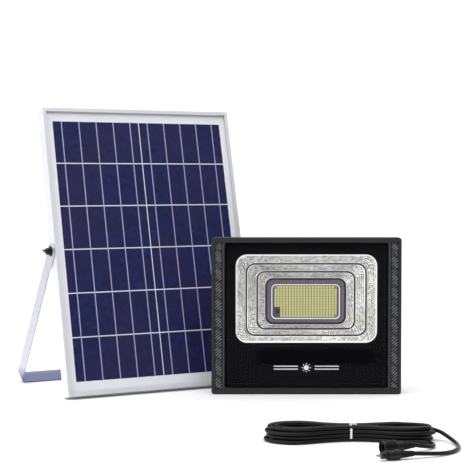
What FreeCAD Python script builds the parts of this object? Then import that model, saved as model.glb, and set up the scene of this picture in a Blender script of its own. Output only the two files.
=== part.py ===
"""Solar flood light kit: a framed solar panel on a hinged U stand, a rectangular LED flood light
with its own battery, and an extension cable tied in a hank.

Units are millimetres, +Z is up. The origin is the middle of the flood light's bottom face. The light
faces -Y. The panel stands behind it on the left, turned about Z and leaning back on its stand. The
cable lies on the floor in front.
"""

import FreeCAD, Part
import math
import os

Vec = FreeCAD.Vector
X_AXIS = Vec(1, 0, 0)
Y_AXIS = Vec(0, 1, 0)
Z_AXIS = Vec(0, 0, 1)

# ---- fits -----------------------------------------------------------------------------------------
RUN_FIT = 0.06              # radial clearance of a part that turns on a shaft
LOOSE_FIT = 0.3             # radial clearance of a screw or button in its hole
GLASS_FIT = 0.3             # gap around a pane in its frame

# ---- solar panel ----------------------------------------------------------------------------------
PANEL_W = 350.0
PANEL_H = 484.0
PANEL_T = 25.0
PANEL_YAW = 28.8            # turn about Z, degrees
PANEL_LEAN = 13.26          # lean back from upright, degrees
PANEL_PLACE = Vec(-386.5, -75.3, 0.0)   # front bottom left corner, before the lean lifts it

RAIL_WALL = 1.6
RAIL_LIP_W = 6.0
RAIL_LIP_T = 1.4
RAIL_SHELF_W = 8.0
RAIL_FLANGE_W = 16.0
KEY_LEG = 40.0              # corner key's leg length
KEY_T = 2.0
KEY_W = 10.0

PANEL_GLASS_T = 3.2
RIBBON_T = 0.15
RIBBON_W = 1.6
CELL_T = 0.2
BACKSHEET_T = 1.05
CELL_W = 157.2
CELL_H = 71.5
CELL_COLUMNS = 2
CELL_ROWS = 6
RIBBONS_PER_CELL = 5
COLUMN_GAP = 1.6
ROW_GAP = 1.8
FIELD_BOTTOM = 23.5         # from the frame's bottom edge to the lowest cell

JBOX_W = 84.0
JBOX_H = 62.0
JBOX_T = 13.0
JBOX_WALL = 2.2
JBOX_LID_T = 2.5
JBOX_FROM_TOP = 58.0        # from the frame's top edge to the box
JBOX_SCREW_IN = 6.0
TERMINAL_W = 14.0
TERMINAL_T = 7.0
TERMINAL_X = 18.0           # from the box's middle to each terminal
TERMINAL_FROM_TOP = 14.0
DIODE_R = 1.6
JBOX_GLAND_HEX_R = 5.3
JBOX_GLAND_DOME_R = 4.9
JBOX_GLAND_THREAD_R = 4.2

# ---- panel stand ----------------------------------------------------------------------------------
PIVOT_DEPTH = 13.4          # pivot's axis, back from the panel's front face
PIVOT_BOLT_R = 3.0
PIVOT_HEAD_R = 5.8
PIVOT_HEAD_T = 4.0
WASHER_R = 8.5
WASHER_T = 1.0
STAND_STRIP_W = 25.0
STAND_STRIP_T = 2.5
STAND_BEND_R = 7.0
STAND_ANGLE = 34.1          # arms from vertical, degrees
STAND_HOLE_R = 4.2
STAND_HOLE_PITCH = 180.0
WING_HUB_R = 5.6
WING_HUB_L = 6.5
WING_SPAN = 13.0            # from the bolt's axis to a wing's tip
WING_T = 2.2
WING_L = 9.0
WING_TILT = 8.0             # wings from level at rest, degrees
BOLT_BEYOND_NUT = 2.5

# ---- flood light ----------------------------------------------------------------------------------
LIGHT_W = 315.0
LIGHT_H = 260.5
BEZEL_T = 24.0
BEZEL_CORNER_R = 5.0
BEZEL_EDGE_R = 1.6
BEZEL_WALL = 3.0
BEZEL_FACE_T = 6.8
SIDE_BORDER = 22.0
TOP_BORDER = 8.8
BOTTOM_BORDER = 10.6
GLASS_CORNER_R = 4.0
GLASS_SET_BACK = 0.6
GLASS_T = 4.0
GASKET_T = 1.2
LEDGE_W = 6.0
PRINT_T = 0.2

WINDOW_W = 234.5
WINDOW_H = 147.0
WINDOW_R = 19.0
WINDOW_Z = 159.0
TIER_WALL = 1.6
TIER_FLANGE = 4.0
GROOVE = 1.3                # width of the step between two tiers
GROOVE_DEPTH = 1.6
# each tier: width, height, corner radius at its front edge, and how far its centre sits below the window's
TIERS = ((234.5, 147.0, 19.0, 0.0), (196.3, 116.4, 13.5, 2.2), (159.7, 92.7, 11.5, 4.2))
TIER_DEPTH = 6.2
WELL_W = 129.0
WELL_H = 71.0
WELL_R = 10.0
WELL_DROP = 6.4

LED_PLATE_W = 132.0
LED_PLATE_H = 74.0
LED_PLATE_T = 1.6
LED_RIM_W = 115.0
LED_RIM_H = 58.5
LED_RIM_R = 7.8
LED_RIM_WALL = 1.8
LED_RIM_T = 1.5
LED_DROP = 7.2              # LED board's centre below the window's centre
LED_COLUMNS = 22
LED_ROWS = 12
LED_PITCH_X = 4.8
LED_PITCH_Z = 4.36
LED_CHIP_W = 3.2
LED_CHIP_H = 3.5
LED_CHIP_T = 0.7
SENSOR_R = 4.0
SENSOR_T = 4.0
SENSOR_COLUMN = 0.7         # sensor's place on the LED grid, counted from the lower left chip
SENSOR_ROW = 1.85
SENSOR_COLUMNS = 2          # chips left out around the sensor, from the lower left corner
SENSOR_ROWS = 4

SEAL_T = 1.5
FLANGE_IN = 3.0             # rear flange's edge, in from the bezel's
FLANGE_T = 3.0
HOUSING_W = 271.0
HOUSING_H = 222.0
HOUSING_R = 10.0
HOUSING_DEPTH = 52.0        # from the light's front face to the rear wall's outer face
HOUSING_WALL = 2.5
LED_SEAT_T = 4.0            # plate behind the LED board, on ribs from the rear wall
LED_SEAT_RIBS = 7
FIN_COUNT = 11
FIN_PITCH = 10.5
FIN_T = 2.5
FIN_H = 8.0
FIN_BOTTOM = 128.0
FIN_TOP = 232.0
SCREW_R = 2.0
SCREW_HEAD_R = 3.6
SCREW_HEAD_T = 2.4
SCREW_L = 12.0
SCREW_FROM_SIDE = 14.0
SCREW_FROM_END = 11.75
BOSS_R = 5.0

CELL32_R = 16.0             # battery cell
CELL32_L = 70.0
CELL32_GAP = 5.0
CELL32_COUNT = 3
BATTERY_X = -11.0           # middle of the battery pack
HOLDER_PLATE_T = 2.2
HOLDER_RIB_T = 3.6
BOARD_W = 120.0
BOARD_H = 21.0
BOARD_T = 1.6
BOARD_UP = 51.25             # board's middle, up from the housing's floor
BOARD_BACK_GAP = 8.0        # from the board to the rear wall
BOARD_CANS = ((-30.0, 0.0, 6.0, 9.0), (-12.0, 3.0, 4.0, 12.0), (0.0, 3.0, 4.0, 12.0))   # x, up, radius, length
BOARD_BLOCKS = ((15.0, 10.0, 10.0, 1.6), (37.0, 18.0, 12.0, 8.0))     # x, width, height, depth
POST_R = 3.0

LUG_X = 66.0                # middle of each bracket lug
LUG_T = 6.0
LUG_R = 11.0
BRACKET_BEHIND = 22.0        # pivot's axis, back from the rear wall's outer face
BRACKET_PIVOT_Z = 118.0
BRACKET_STRIP_W = 24.0
BRACKET_STRIP_T = 2.5
BRACKET_BEND_R = 6.0
BRACKET_HOLE_R = 3.3
BRACKET_HOLE_PITCH = 80.0
BRACKET_BOLT_R = 3.0
BRACKET_HEAD_R = 5.2
BRACKET_HEAD_T = 3.6
BRACKET_NUT_T = 5.0

FITTING_X = 114.0           # push button and cable gland, on the rear wall
BUTTON_UP = 40.25            # up from the housing's floor
GLAND_UP = 12.25
BUTTON_R = 8.0
BUTTON_L = 10.0
BUTTON_OUT = 2.4
BUTTON_TRAVEL = 1.5
BUTTON_RING_R = 11.5
BUTTON_RING_T = 3.0
LEAD_R = 3.1                # bore of both cable glands
GLAND_THREAD_R = 6.0
GLAND_HEX_R = 9.0
GLAND_HEX_T = 5.0
GLAND_DOME_R = 7.2
GLAND_DOME_L = 10.0
GLAND_NUT_T = 4.0

# ---- extension cable ------------------------------------------------------------------------------
CABLE_PLACE = Vec(40.0, -400.0, 0.0)    # middle of the hank, on the floor
CORD_D = 5.5
CORD_R = CORD_D / 2
HANK_LAYERS = 4
HANK_HALF_L = 118.0         # middle of the hank to the outermost turn's tip
HANK_LEFT_H = 37.0          # half height of the left loop's outermost turn
HANK_RIGHT_H = 30.0
HANK_INNER_IN = 14.0        # innermost turn's tip, in from the outermost
HANK_INNER_H = 13.0         # innermost turn's loop, lower than the outermost
TIE_W = 4.0
TIE_T = 1.1
TIE_KNOT_R = 2.2

# the two tails from the hank to their connectors, about the hank's middle
SOCKET_TAIL = ((96.0, -20.0, 2.75), (105.0, -33.0, 2.75), (108.0, -48.0, 2.75),
               (102.5, -62.0, 3.5), (90.5, -71.5, 6.0), (77.0, -77.0, 8.8))
PLUG_TAIL = ((103.0, 9.0, 17.5), (119.0, 2.0, 14.5), (131.0, -14.0, 8.0), (139.0, -35.0, 3.5),
             (139.5, -59.0, 2.75), (131.5, -83.0, 2.75), (115.0, -102.0, 3.0), (93.0, -113.5, 4.8),
             (70.0, -121.0, 6.7))
BOOT_L = 20.0
BOOT_RIBS = 4
BOOT_GROOVE_W = 1.6
BOOT_GROOVE = 0.9
CORD_IN_BOOT = 12.0         # how far the cable reaches into each boot

SOCKET_BOOT_R = 6.0
SOCKET_R = 6.2
SOCKET_L = 26.0
SOCKET_COLLAR_R = 7.4
SOCKET_COLLAR_T = 2.0
SOCKET_COLLAR_AT = 13.0
SOCKET_BORE_R = 4.8
SOCKET_BORE_L = 10.0
CONTACT_R = 1.1
NUT_R = 8.75
NUT_L = 20.0
NUT_SHOULDER_T = 4.5
NUT_BORE_R = 7.8
NUT_RIBS = 18
NUT_RIB_DEPTH = 0.8
NUT_FRONT_OUT = 2.0         # how far the nut reaches past the socket's face

PLUG_BOOT_R = 5.4
PLUG_R = 6.6
PLUG_L = 16.0
PLUG_GRIP_L = 8.0
PLUG_THREAD_R = 6.2
PLUG_NOSE_R = 4.5
PLUG_NOSE_L = 7.0
PLUG_NECK_R = 4.0             # under the sealing ring, between body and nose
PLUG_SEAL_R = 5.3
PLUG_SEAL_T = 2.0
PIN_R = 0.9
PIN_L = 6.0
PIN_SPACING = 3.6


# ---- shared shapes --------------------------------------------------------------------------------

def box(x0, y0, z0, x1, y1, z1):
    """A box between two corners."""
    return Part.makeBox(x1 - x0, y1 - y0, z1 - z0, Vec(x0, y0, z0))


def cylinder(radius, length, start, along):
    """A cylinder from a start point along a direction."""
    return Part.makeCylinder(radius, length, start, along)


def rounded_rectangle(width, height, radius, y, z_middle, x_middle=0.0):
    """A closed wire in the plane at y, with four round corners."""
    x0 = x_middle - width / 2
    x1 = x_middle + width / 2
    z0 = z_middle - height / 2
    z1 = z_middle + height / 2
    corner = radius * (1 - math.sqrt(0.5))
    points = ((x0 + radius, z0), (x1 - radius, z0), (x1 - corner, z0 + corner), (x1, z0 + radius),
              (x1, z1 - radius), (x1 - corner, z1 - corner), (x1 - radius, z1), (x0 + radius, z1),
              (x0 + corner, z1 - corner), (x0, z1 - radius), (x0, z0 + radius), (x0 + corner, z0 + corner))
    p = [Vec(px, y, pz) for px, pz in points]
    edges = []
    for side in range(4):
        a = 3 * side
        edges.append(Part.makeLine(p[a], p[a + 1]))
        edges.append(Part.Arc(p[a + 1], p[a + 2], p[(a + 3) % 12]).toShape())
    return Part.Wire(edges)


def plate(width, height, radius, y0, y1, z_middle, x_middle=0.0):
    """A flat plate with round corners between two depths."""
    face = Part.Face(rounded_rectangle(width, height, radius, y0, z_middle, x_middle))
    return face.extrude(Vec(0, y1 - y0, 0))


def hexagon(across_corners_r, length, start, along):
    """A hexagonal prism from a start point along a direction."""
    turn = FreeCAD.Rotation(Z_AXIS, along)
    ring = [turn.multVec(Vec(across_corners_r * math.cos(math.radians(60 * i)),
                             across_corners_r * math.sin(math.radians(60 * i)), 0)) + start
            for i in range(7)]
    return Part.Face(Part.makePolygon(ring)).extrude(along * length)


def prism(points, thickness):
    """A closed outline of 3-D points, extruded by a vector."""
    return Part.Face(Part.makePolygon(list(points) + [points[0]])).extrude(thickness)


def u_strip(inner_w, strip_t, strip_w, length, bend_r):
    """A U of flat strip. Its arms hang along -Z from pivots at z = 0 and are strip_w wide along Y.

    The outline is the band between two round-cornered U lines, and the arm's top is round about the pivot.
    """
    out = inner_w / 2 + strip_t
    tall = length + strip_w
    outer = box(-out, -strip_w / 2, -length, out, strip_w / 2, tall - length)
    inner = box(-inner_w / 2, -strip_w, -length + strip_t, inner_w / 2, strip_w, tall)
    outer = fillet_along_y(outer, -length, bend_r + strip_t)
    inner = fillet_along_y(inner, -length + strip_t, bend_r)
    strip = outer.cut(inner)
    arm = box(-out, -strip_w / 2, -length, out, strip_w / 2, 0)
    top = cylinder(strip_w / 2, 2 * out, Vec(-out, 0, 0), X_AXIS)
    return strip.common(arm.fuse(top)).removeSplitter()


def fillet_along_y(shape, z, radius):
    """Round the edges that run along Y at one height."""
    edges = [e for e in shape.Edges
             if abs(e.BoundBox.ZMin - z) < 1e-6 and abs(e.BoundBox.ZMax - z) < 1e-6 and e.BoundBox.XLength < 1e-6]
    return shape.makeFillet(radius, edges)


def moved(shape, placement):
    """A copy of a shape, carried from its own frame to another."""
    copy = shape.copy()
    copy.Placement = placement.multiply(copy.Placement)
    return copy


def group(shapes):
    """Several separate solids of one node."""
    return Part.makeCompound(list(shapes))


# ---- solar panel: own frame has x along the width, y from front to back, z up the pane -------------

PANEL_LIFT = PANEL_T * math.sin(math.radians(PANEL_LEAN))
PANEL_FRAME = FreeCAD.Placement(PANEL_PLACE + Vec(0, 0, PANEL_LIFT),
                                FreeCAD.Rotation(Z_AXIS, PANEL_YAW).multiply(FreeCAD.Rotation(X_AXIS, -PANEL_LEAN)))
LAMINATE_FRONT = RAIL_LIP_T
CELL_BACK = LAMINATE_FRONT + PANEL_GLASS_T + RIBBON_T + CELL_T
LAMINATE_BACK = CELL_BACK + BACKSHEET_T
PIVOT_Z = PANEL_H / 2
FIELD_W = CELL_COLUMNS * CELL_W + (CELL_COLUMNS - 1) * COLUMN_GAP
FIELD_H = CELL_ROWS * CELL_H + (CELL_ROWS - 1) * ROW_GAP
FIELD_LEFT = (PANEL_W - FIELD_W) / 2


def rail_section():
    """The rail's outline: distance in from the outer face, and depth from the front."""
    shelf_back = LAMINATE_BACK + RAIL_LIP_T
    flange_front = PANEL_T - RAIL_WALL
    return ((0, 0), (RAIL_LIP_W, 0), (RAIL_LIP_W, RAIL_LIP_T), (RAIL_WALL, RAIL_LIP_T),
            (RAIL_WALL, LAMINATE_BACK), (RAIL_SHELF_W, LAMINATE_BACK), (RAIL_SHELF_W, shelf_back),
            (RAIL_WALL, shelf_back), (RAIL_WALL, flange_front), (RAIL_FLANGE_W, flange_front),
            (RAIL_FLANGE_W, PANEL_T), (0, PANEL_T))


def mitred_rail(length):
    """A rail lying along +X at the origin, its inner side towards +Z, with both ends cut at 45 degrees."""
    body = prism([Vec(0, depth, inward) for inward, depth in rail_section()], Vec(length, 0, 0))
    m = RAIL_FLANGE_W
    mitre = prism([Vec(0, 0, 0), Vec(length, 0, 0), Vec(length - m, 0, m), Vec(m, 0, m)], Vec(0, PANEL_T, 0))
    return body.common(mitre)


def panel_rails():
    """Four mitred rails. The side rails are drilled for the stand's bolts."""
    def turned(length, angle, x, z):
        place = FreeCAD.Placement(Vec(x, 0, z), FreeCAD.Rotation(Y_AXIS, angle))
        return moved(mitred_rail(length), place)
    hole = cylinder(PIVOT_BOLT_R + LOOSE_FIT, PANEL_W + 2, Vec(-1, PIVOT_DEPTH, PIVOT_Z), X_AXIS)
    return {"panel_bottom_rail": turned(PANEL_W, 0, 0, 0),
            "panel_right_rail": turned(PANEL_H, -90, PANEL_W, 0).cut(hole),
            "panel_top_rail": turned(PANEL_W, 180, PANEL_W, PANEL_H),
            "panel_left_rail": turned(PANEL_H, 90, 0, PANEL_H).cut(hole)}


def corner_keys():
    """An L-shaped key in each corner, on the rear flange."""
    back = PANEL_T - RAIL_WALL
    near = RAIL_WALL
    keys = []
    for right in (False, True):
        for top in (False, True):
            key = box(near, back - KEY_T, near, near + KEY_LEG, back, near + KEY_W)
            key = key.fuse(box(near, back - KEY_T, near, near + KEY_W, back, near + KEY_LEG)).removeSplitter()
            if right:
                key = key.mirror(Vec(PANEL_W / 2, 0, 0), X_AXIS)
            if top:
                key = key.mirror(Vec(0, 0, PANEL_H / 2), Z_AXIS)
            keys.append(key)
    return group(keys)


def laminate():
    """Glass, ribbons, cells and back sheet, layer on layer in the rails' slot."""
    edge = RAIL_WALL + GLASS_FIT
    glass_back = LAMINATE_FRONT + PANEL_GLASS_T
    ribbon_back = glass_back + RIBBON_T
    cells = []
    ribbons = []
    for column in range(CELL_COLUMNS):
        left = FIELD_LEFT + column * (CELL_W + COLUMN_GAP)
        for row in range(CELL_ROWS):
            low = FIELD_BOTTOM + row * (CELL_H + ROW_GAP)
            cells.append(box(left, ribbon_back, low, left + CELL_W, CELL_BACK, low + CELL_H))
        for i in range(RIBBONS_PER_CELL):
            x = left + CELL_W * (i + 0.5) / RIBBONS_PER_CELL
            ribbons.append(box(x - RIBBON_W / 2, glass_back, FIELD_BOTTOM,
                               x + RIBBON_W / 2, ribbon_back, FIELD_BOTTOM + FIELD_H))
    return {"panel_glass": box(edge, LAMINATE_FRONT, edge, PANEL_W - edge, glass_back, PANEL_H - edge),
            "cell_ribbons": group(ribbons),
            "solar_cells": group(cells),
            "panel_backsheet": box(edge, CELL_BACK, edge, PANEL_W - edge, LAMINATE_BACK, PANEL_H - edge)}


def cable_gland(seat, along, wall, sizes):
    """A gland that points along a direction from the outer face of a wall, and its lock nut inside.

    Its hexagon seats on the wall, its thread goes through it, and one bore runs from end to end.
    """
    hex_r, dome_r, thread_r = sizes
    inside = seat - along * (wall + GLAND_NUT_T)
    body = hexagon(hex_r, GLAND_HEX_T, seat, along)
    body = body.fuse(cylinder(dome_r, GLAND_DOME_L, seat + along * GLAND_HEX_T, along))
    body = body.fuse(cylinder(thread_r, wall + GLAND_NUT_T, inside, along))
    body = body.cut(cylinder(LEAD_R, 4 * GLAND_DOME_L, inside - along, along)).removeSplitter()
    nut = hexagon(hex_r, GLAND_NUT_T, inside, along).cut(cylinder(thread_r, GLAND_NUT_T, inside, along))
    return body, nut


def junction_box():
    """The box on the panel's back, with its lid, screws, terminals, diodes and cable gland."""
    x0 = (PANEL_W - JBOX_W) / 2
    z1 = PANEL_H - JBOX_FROM_TOP
    z0 = z1 - JBOX_H
    y0 = LAMINATE_BACK
    y1 = y0 + JBOX_T
    middle = Vec(PANEL_W / 2, y0 + (JBOX_T + JBOX_WALL) / 2, z0)
    sizes = (JBOX_GLAND_HEX_R, JBOX_GLAND_DOME_R, JBOX_GLAND_THREAD_R)
    base = box(x0, y0, z0, x0 + JBOX_W, y1, z1)
    base = base.cut(box(x0 + JBOX_WALL, y0 + JBOX_WALL, z0 + JBOX_WALL,
                        x0 + JBOX_W - JBOX_WALL, y1 + 1, z1 - JBOX_WALL))
    lid = box(x0, y1, z0, x0 + JBOX_W, y1 + JBOX_LID_T, z1)
    screws = []
    for x in (x0 + JBOX_SCREW_IN, x0 + JBOX_W - JBOX_SCREW_IN):
        for z in (z0 + JBOX_SCREW_IN, z1 - JBOX_SCREW_IN):
            post = cylinder(POST_R, JBOX_T - JBOX_WALL, Vec(x, y0 + JBOX_WALL, z), Y_AXIS)
            base = base.fuse(post)
            shank = cylinder(SCREW_R - 0.5, JBOX_T / 2 + JBOX_LID_T, Vec(x, y1 - JBOX_T / 2, z), Y_AXIS)
            base = base.cut(shank)
            lid = lid.cut(shank)
            head = cylinder(SCREW_HEAD_R - 0.8, 1.6, Vec(x, y1 + JBOX_LID_T, z), Y_AXIS)
            screws.append(shank.fuse(head).removeSplitter())
    base = base.cut(cylinder(JBOX_GLAND_THREAD_R, JBOX_WALL + 2, middle - Z_AXIS, Z_AXIS)).removeSplitter()
    gland, nut = cable_gland(middle, Z_AXIS * -1, JBOX_WALL, sizes)
    floor = y0 + JBOX_WALL
    terminal_z = z1 - TERMINAL_FROM_TOP
    terminals = [box(x - TERMINAL_W / 2, floor, terminal_z - TERMINAL_W, x + TERMINAL_W / 2, floor + TERMINAL_T,
                     terminal_z) for x in (PANEL_W / 2 - TERMINAL_X, PANEL_W / 2 + TERMINAL_X)]
    diode_l = 2 * TERMINAL_X - TERMINAL_W
    diode = cylinder(DIODE_R, diode_l, Vec((PANEL_W - diode_l) / 2, floor + DIODE_R, terminal_z - TERMINAL_W / 2),
                     X_AXIS)
    return {"junction_box": base,
            "junction_box_lid": lid,
            "junction_box_screws": group(screws),
            "junction_terminals": group(terminals),
            "bypass_diode": diode,
            "junction_gland": gland,
            "junction_gland_nut": nut}


# ---- panel stand: own frame has x along the pivots, z up the arms, origin midway between them -------

PANEL_PIVOT = PANEL_FRAME.multVec(Vec(PANEL_W / 2, PIVOT_DEPTH, PIVOT_Z))
STAND_TURN = FreeCAD.Rotation(Z_AXIS, PANEL_YAW).multiply(FreeCAD.Rotation(X_AXIS, STAND_ANGLE))
STAND_FRAME = FreeCAD.Placement(PANEL_PIVOT, STAND_TURN)
STAND_LEAN = math.radians(STAND_ANGLE)
STAND_LENGTH = (PANEL_PIVOT.z - STAND_STRIP_W / 2 * math.sin(STAND_LEAN)) / math.cos(STAND_LEAN)
STAND_INNER_W = PANEL_W + 2 * WASHER_T
NUT_SEAT = STAND_INNER_W / 2 + STAND_STRIP_T + WASHER_T     # from the panel's middle to each wing nut


def panel_stand():
    """The U stand, with running holes for the pivot bolts and two screw holes in its foot."""
    strip = u_strip(STAND_INNER_W, STAND_STRIP_T, STAND_STRIP_W, STAND_LENGTH, STAND_BEND_R)
    strip = strip.cut(cylinder(PIVOT_BOLT_R + RUN_FIT, 2 * NUT_SEAT, Vec(-NUT_SEAT, 0, 0), X_AXIS))
    for side in (-1, 1):
        foot = Vec(side * STAND_HOLE_PITCH / 2, 0, -STAND_LENGTH - 1)
        strip = strip.cut(cylinder(STAND_HOLE_R, STAND_STRIP_T + 2, foot, Z_AXIS))
    return moved(strip, STAND_FRAME)


def pivot_bolts():
    """A hexagon bolt through each side rail, its head inside the frame."""
    bolts = []
    for side in (-1, 1):
        out = X_AXIS * side
        head = out * (PANEL_W / 2 - RAIL_WALL - PIVOT_HEAD_T)
        reach = NUT_SEAT + WING_HUB_L + BOLT_BEYOND_NUT - (PANEL_W / 2 - RAIL_WALL)
        bolt = hexagon(PIVOT_HEAD_R, PIVOT_HEAD_T, head, out)
        bolt = bolt.fuse(cylinder(PIVOT_BOLT_R, reach, head + out * PIVOT_HEAD_T, out))
        bolts.append(moved(bolt.removeSplitter(), STAND_FRAME))
    return group(bolts)


def stand_washers():
    """A washer on each side of each arm."""
    washers = []
    for side in (-1, 1):
        out = X_AXIS * side
        for start in (PANEL_W / 2, NUT_SEAT - WASHER_T):
            ring = cylinder(WASHER_R, WASHER_T, out * start, out)
            washers.append(moved(ring.cut(cylinder(PIVOT_BOLT_R, WASHER_T, out * start, out)), STAND_FRAME))
    return group(washers)


def wing_nut(side):
    """A hub with two rounded wings, near level at rest. It turns on the bolt's end."""
    out = X_AXIS * side
    start = out * NUT_SEAT
    nut = cylinder(WING_HUB_R, WING_HUB_L, start, out)
    x0, x1 = sorted((start.x + side * 1.0, start.x + side * (1.0 + WING_L)))
    middle = (x0 + x1) / 2
    wing = box(x0, -WING_SPAN + WING_L / 2, -WING_T / 2, x1, WING_SPAN - WING_L / 2, WING_T / 2)
    for end in (-1, 1):
        tip = Vec(middle, end * (WING_SPAN - WING_L / 2), -WING_T / 2)
        wing = wing.fuse(cylinder(WING_L / 2, WING_T, tip, Z_AXIS))
    clear_front = cylinder(WING_HUB_R - 1, WING_L, start + out * WING_HUB_L, out)
    bore = cylinder(PIVOT_BOLT_R + RUN_FIT, WING_HUB_L, start, out)
    nut = nut.fuse(wing).cut(clear_front).cut(bore).removeSplitter()
    level = FreeCAD.Placement(Vec(0, 0, 0), FreeCAD.Rotation(X_AXIS, WING_TILT - STAND_ANGLE))
    return moved(moved(nut, level), STAND_FRAME)


# ---- flood light: x across, y from the front face backwards, z up -----------------------------------

FRONT_Y = -BEZEL_T / 2
LIGHT_MID = LIGHT_H / 2
PANE_W = LIGHT_W - 2 * SIDE_BORDER
PANE_H = LIGHT_H - TOP_BORDER - BOTTOM_BORDER
PANE_Z = BOTTOM_BORDER + PANE_H / 2
OPENING_W = PANE_W - 2 * LEDGE_W
OPENING_H = PANE_H - 2 * LEDGE_W
GLASS_BACK = FRONT_Y + GLASS_SET_BACK + GLASS_T
LEDGE_FRONT = GLASS_BACK + GASKET_T
BEZEL_BACK = FRONT_Y + BEZEL_T
FLANGE_FRONT = BEZEL_BACK + SEAL_T
WALL_BACK = FRONT_Y + HOUSING_DEPTH
WALL_FRONT = WALL_BACK - HOUSING_WALL
FLANGE_W = LIGHT_W - 2 * FLANGE_IN
FLANGE_H = LIGHT_H - 2 * FLANGE_IN
LED_Z = WINDOW_Z - LED_DROP
HOUSING_FLOOR = LIGHT_MID - HOUSING_H / 2 + HOUSING_WALL
BOARD_Z = HOUSING_FLOOR + BOARD_UP
BUTTON_Z = HOUSING_FLOOR + BUTTON_UP
GLAND_Z = HOUSING_FLOOR + GLAND_UP
BRACKET_PIVOT_DEPTH = HOUSING_DEPTH + BRACKET_BEHIND     # from the light's front face
REFLECTOR_FRONT = GLASS_BACK + PRINT_T
REFLECTOR_BACK = REFLECTOR_FRONT + TIER_WALL + len(TIERS) * TIER_DEPTH + (len(TIERS) - 1) * GROOVE_DEPTH
LED_PLATE_FRONT = REFLECTOR_BACK + TIER_WALL
LED_PLATE_BACK = LED_PLATE_FRONT + LED_PLATE_T


def screw_places():
    """Middle of each housing screw: four corners, and the middle of each long side twice."""
    x = LIGHT_W / 2 - SCREW_FROM_SIDE
    z = SCREW_FROM_END
    corners = [(sx * x, zz) for sx in (-1, 1) for zz in (z, LIGHT_H - z)]
    middles = [(sx * x / 3, zz) for sx in (-1, 1) for zz in (z, LIGHT_H - z)]
    return corners + middles


def front_frame():
    """The bezel: a deep frame, hollow from behind, with a seat for the glass and a boss at each screw."""
    body = plate(LIGHT_W, LIGHT_H, BEZEL_CORNER_R, FRONT_Y, BEZEL_BACK, LIGHT_MID)
    front = [e for e in body.Edges if e.BoundBox.YMax < FRONT_Y + 1e-6]
    body = body.makeFillet(BEZEL_EDGE_R, front)
    seat = plate(PANE_W + 2 * GLASS_FIT, PANE_H + 2 * GLASS_FIT, GLASS_CORNER_R, FRONT_Y - 1, LEDGE_FRONT, PANE_Z)
    opening = plate(OPENING_W, OPENING_H, GLASS_CORNER_R, FRONT_Y - 1, BEZEL_BACK + 1, PANE_Z)
    hollow_out = plate(LIGHT_W - 2 * BEZEL_WALL, LIGHT_H - 2 * BEZEL_WALL, BEZEL_CORNER_R - BEZEL_WALL,
                       LEDGE_FRONT + BEZEL_WALL, BEZEL_BACK + 1, LIGHT_MID)
    hollow_in = plate(OPENING_W + 2 * BEZEL_WALL, OPENING_H + 2 * BEZEL_WALL, GLASS_CORNER_R + BEZEL_WALL,
                      LEDGE_FRONT, BEZEL_BACK + 2, PANE_Z)
    hollow = hollow_out.cut(hollow_in)
    for x, z in screw_places():
        start = Vec(x, LEDGE_FRONT, z)
        hollow = hollow.cut(cylinder(BOSS_R, BEZEL_T + 2, start, Y_AXIS))
    body = body.cut(seat).cut(opening).cut(hollow)
    for x, z in screw_places():
        hole = cylinder(SCREW_R, SCREW_L, Vec(x, BEZEL_BACK - SCREW_L + SEAL_T + FLANGE_T, z), Y_AXIS)
        body = body.cut(hole)
    return body.removeSplitter()


def front_glazing():
    """The pane, the gasket behind it, and the black print with its clear window."""
    glass = plate(PANE_W, PANE_H, GLASS_CORNER_R, FRONT_Y + GLASS_SET_BACK, GLASS_BACK, PANE_Z)
    opening = plate(OPENING_W, OPENING_H, GLASS_CORNER_R, GLASS_BACK, LEDGE_FRONT, PANE_Z)
    gasket = plate(PANE_W, PANE_H, GLASS_CORNER_R, GLASS_BACK, LEDGE_FRONT, PANE_Z).cut(opening)
    inked = plate(OPENING_W - 2 * GLASS_FIT, OPENING_H - 2 * GLASS_FIT, GLASS_CORNER_R,
                  GLASS_BACK, REFLECTOR_FRONT, PANE_Z)
    window = plate(WINDOW_W, WINDOW_H, WINDOW_R, GLASS_BACK, REFLECTOR_FRONT, WINDOW_Z)
    return {"front_glass": glass, "glass_gasket": gasket, "glass_print": inked.cut(window)}


def reflector():
    """Three stepped, sloping tiers around the light well, moulded as one shell with a front flange.

    Each tier slopes inward over TIER_DEPTH to meet a narrow groove in front of the next tier.
    """
    openings = list(TIERS) + [(WELL_W + 2 * GROOVE, WELL_H + 2 * GROOVE, WELL_R + GROOVE, WELL_DROP)]
    tier_solids = []
    hole_solids = []
    y = REFLECTOR_FRONT
    for (w0, h0, r0, drop0), (w1, h1, r1, drop1) in zip(openings[:-1], openings[1:]):
        far = (w1 + 2 * GROOVE, h1 + 2 * GROOVE, r1 + GROOVE, drop1)
        hole_solids.append(frustum((w0, h0, r0, drop0), far, y, y + TIER_DEPTH))
        near_out = (w0 + 2 * TIER_WALL, h0 + 2 * TIER_WALL, r0 + TIER_WALL, drop0)
        far_out = (far[0] + 2 * TIER_WALL, far[1] + 2 * TIER_WALL, far[2] + TIER_WALL, drop1)
        tier_solids.append(frustum(near_out, far_out, y, y + TIER_DEPTH))
        y += TIER_DEPTH
        step = y + GROOVE_DEPTH
        hole_solids.append(plate(far[0], far[1], far[2], y, step, WINDOW_Z - drop1))
        tier_solids.append(plate(far_out[0], far_out[1], far_out[2], y, step + TIER_WALL, WINDOW_Z - drop1))
        y = step
    well = plate(WELL_W, WELL_H, WELL_R, y - 1, y + 2 * TIER_WALL, WINDOW_Z - WELL_DROP)
    flange = plate(WINDOW_W + 2 * TIER_FLANGE, WINDOW_H + 2 * TIER_FLANGE, WINDOW_R + TIER_FLANGE,
                   REFLECTOR_FRONT, REFLECTOR_FRONT + TIER_WALL, WINDOW_Z)
    body = flange.multiFuse(tier_solids)
    return body.cut(hole_solids[0].multiFuse(hole_solids[1:] + [well])).removeSplitter()


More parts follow.
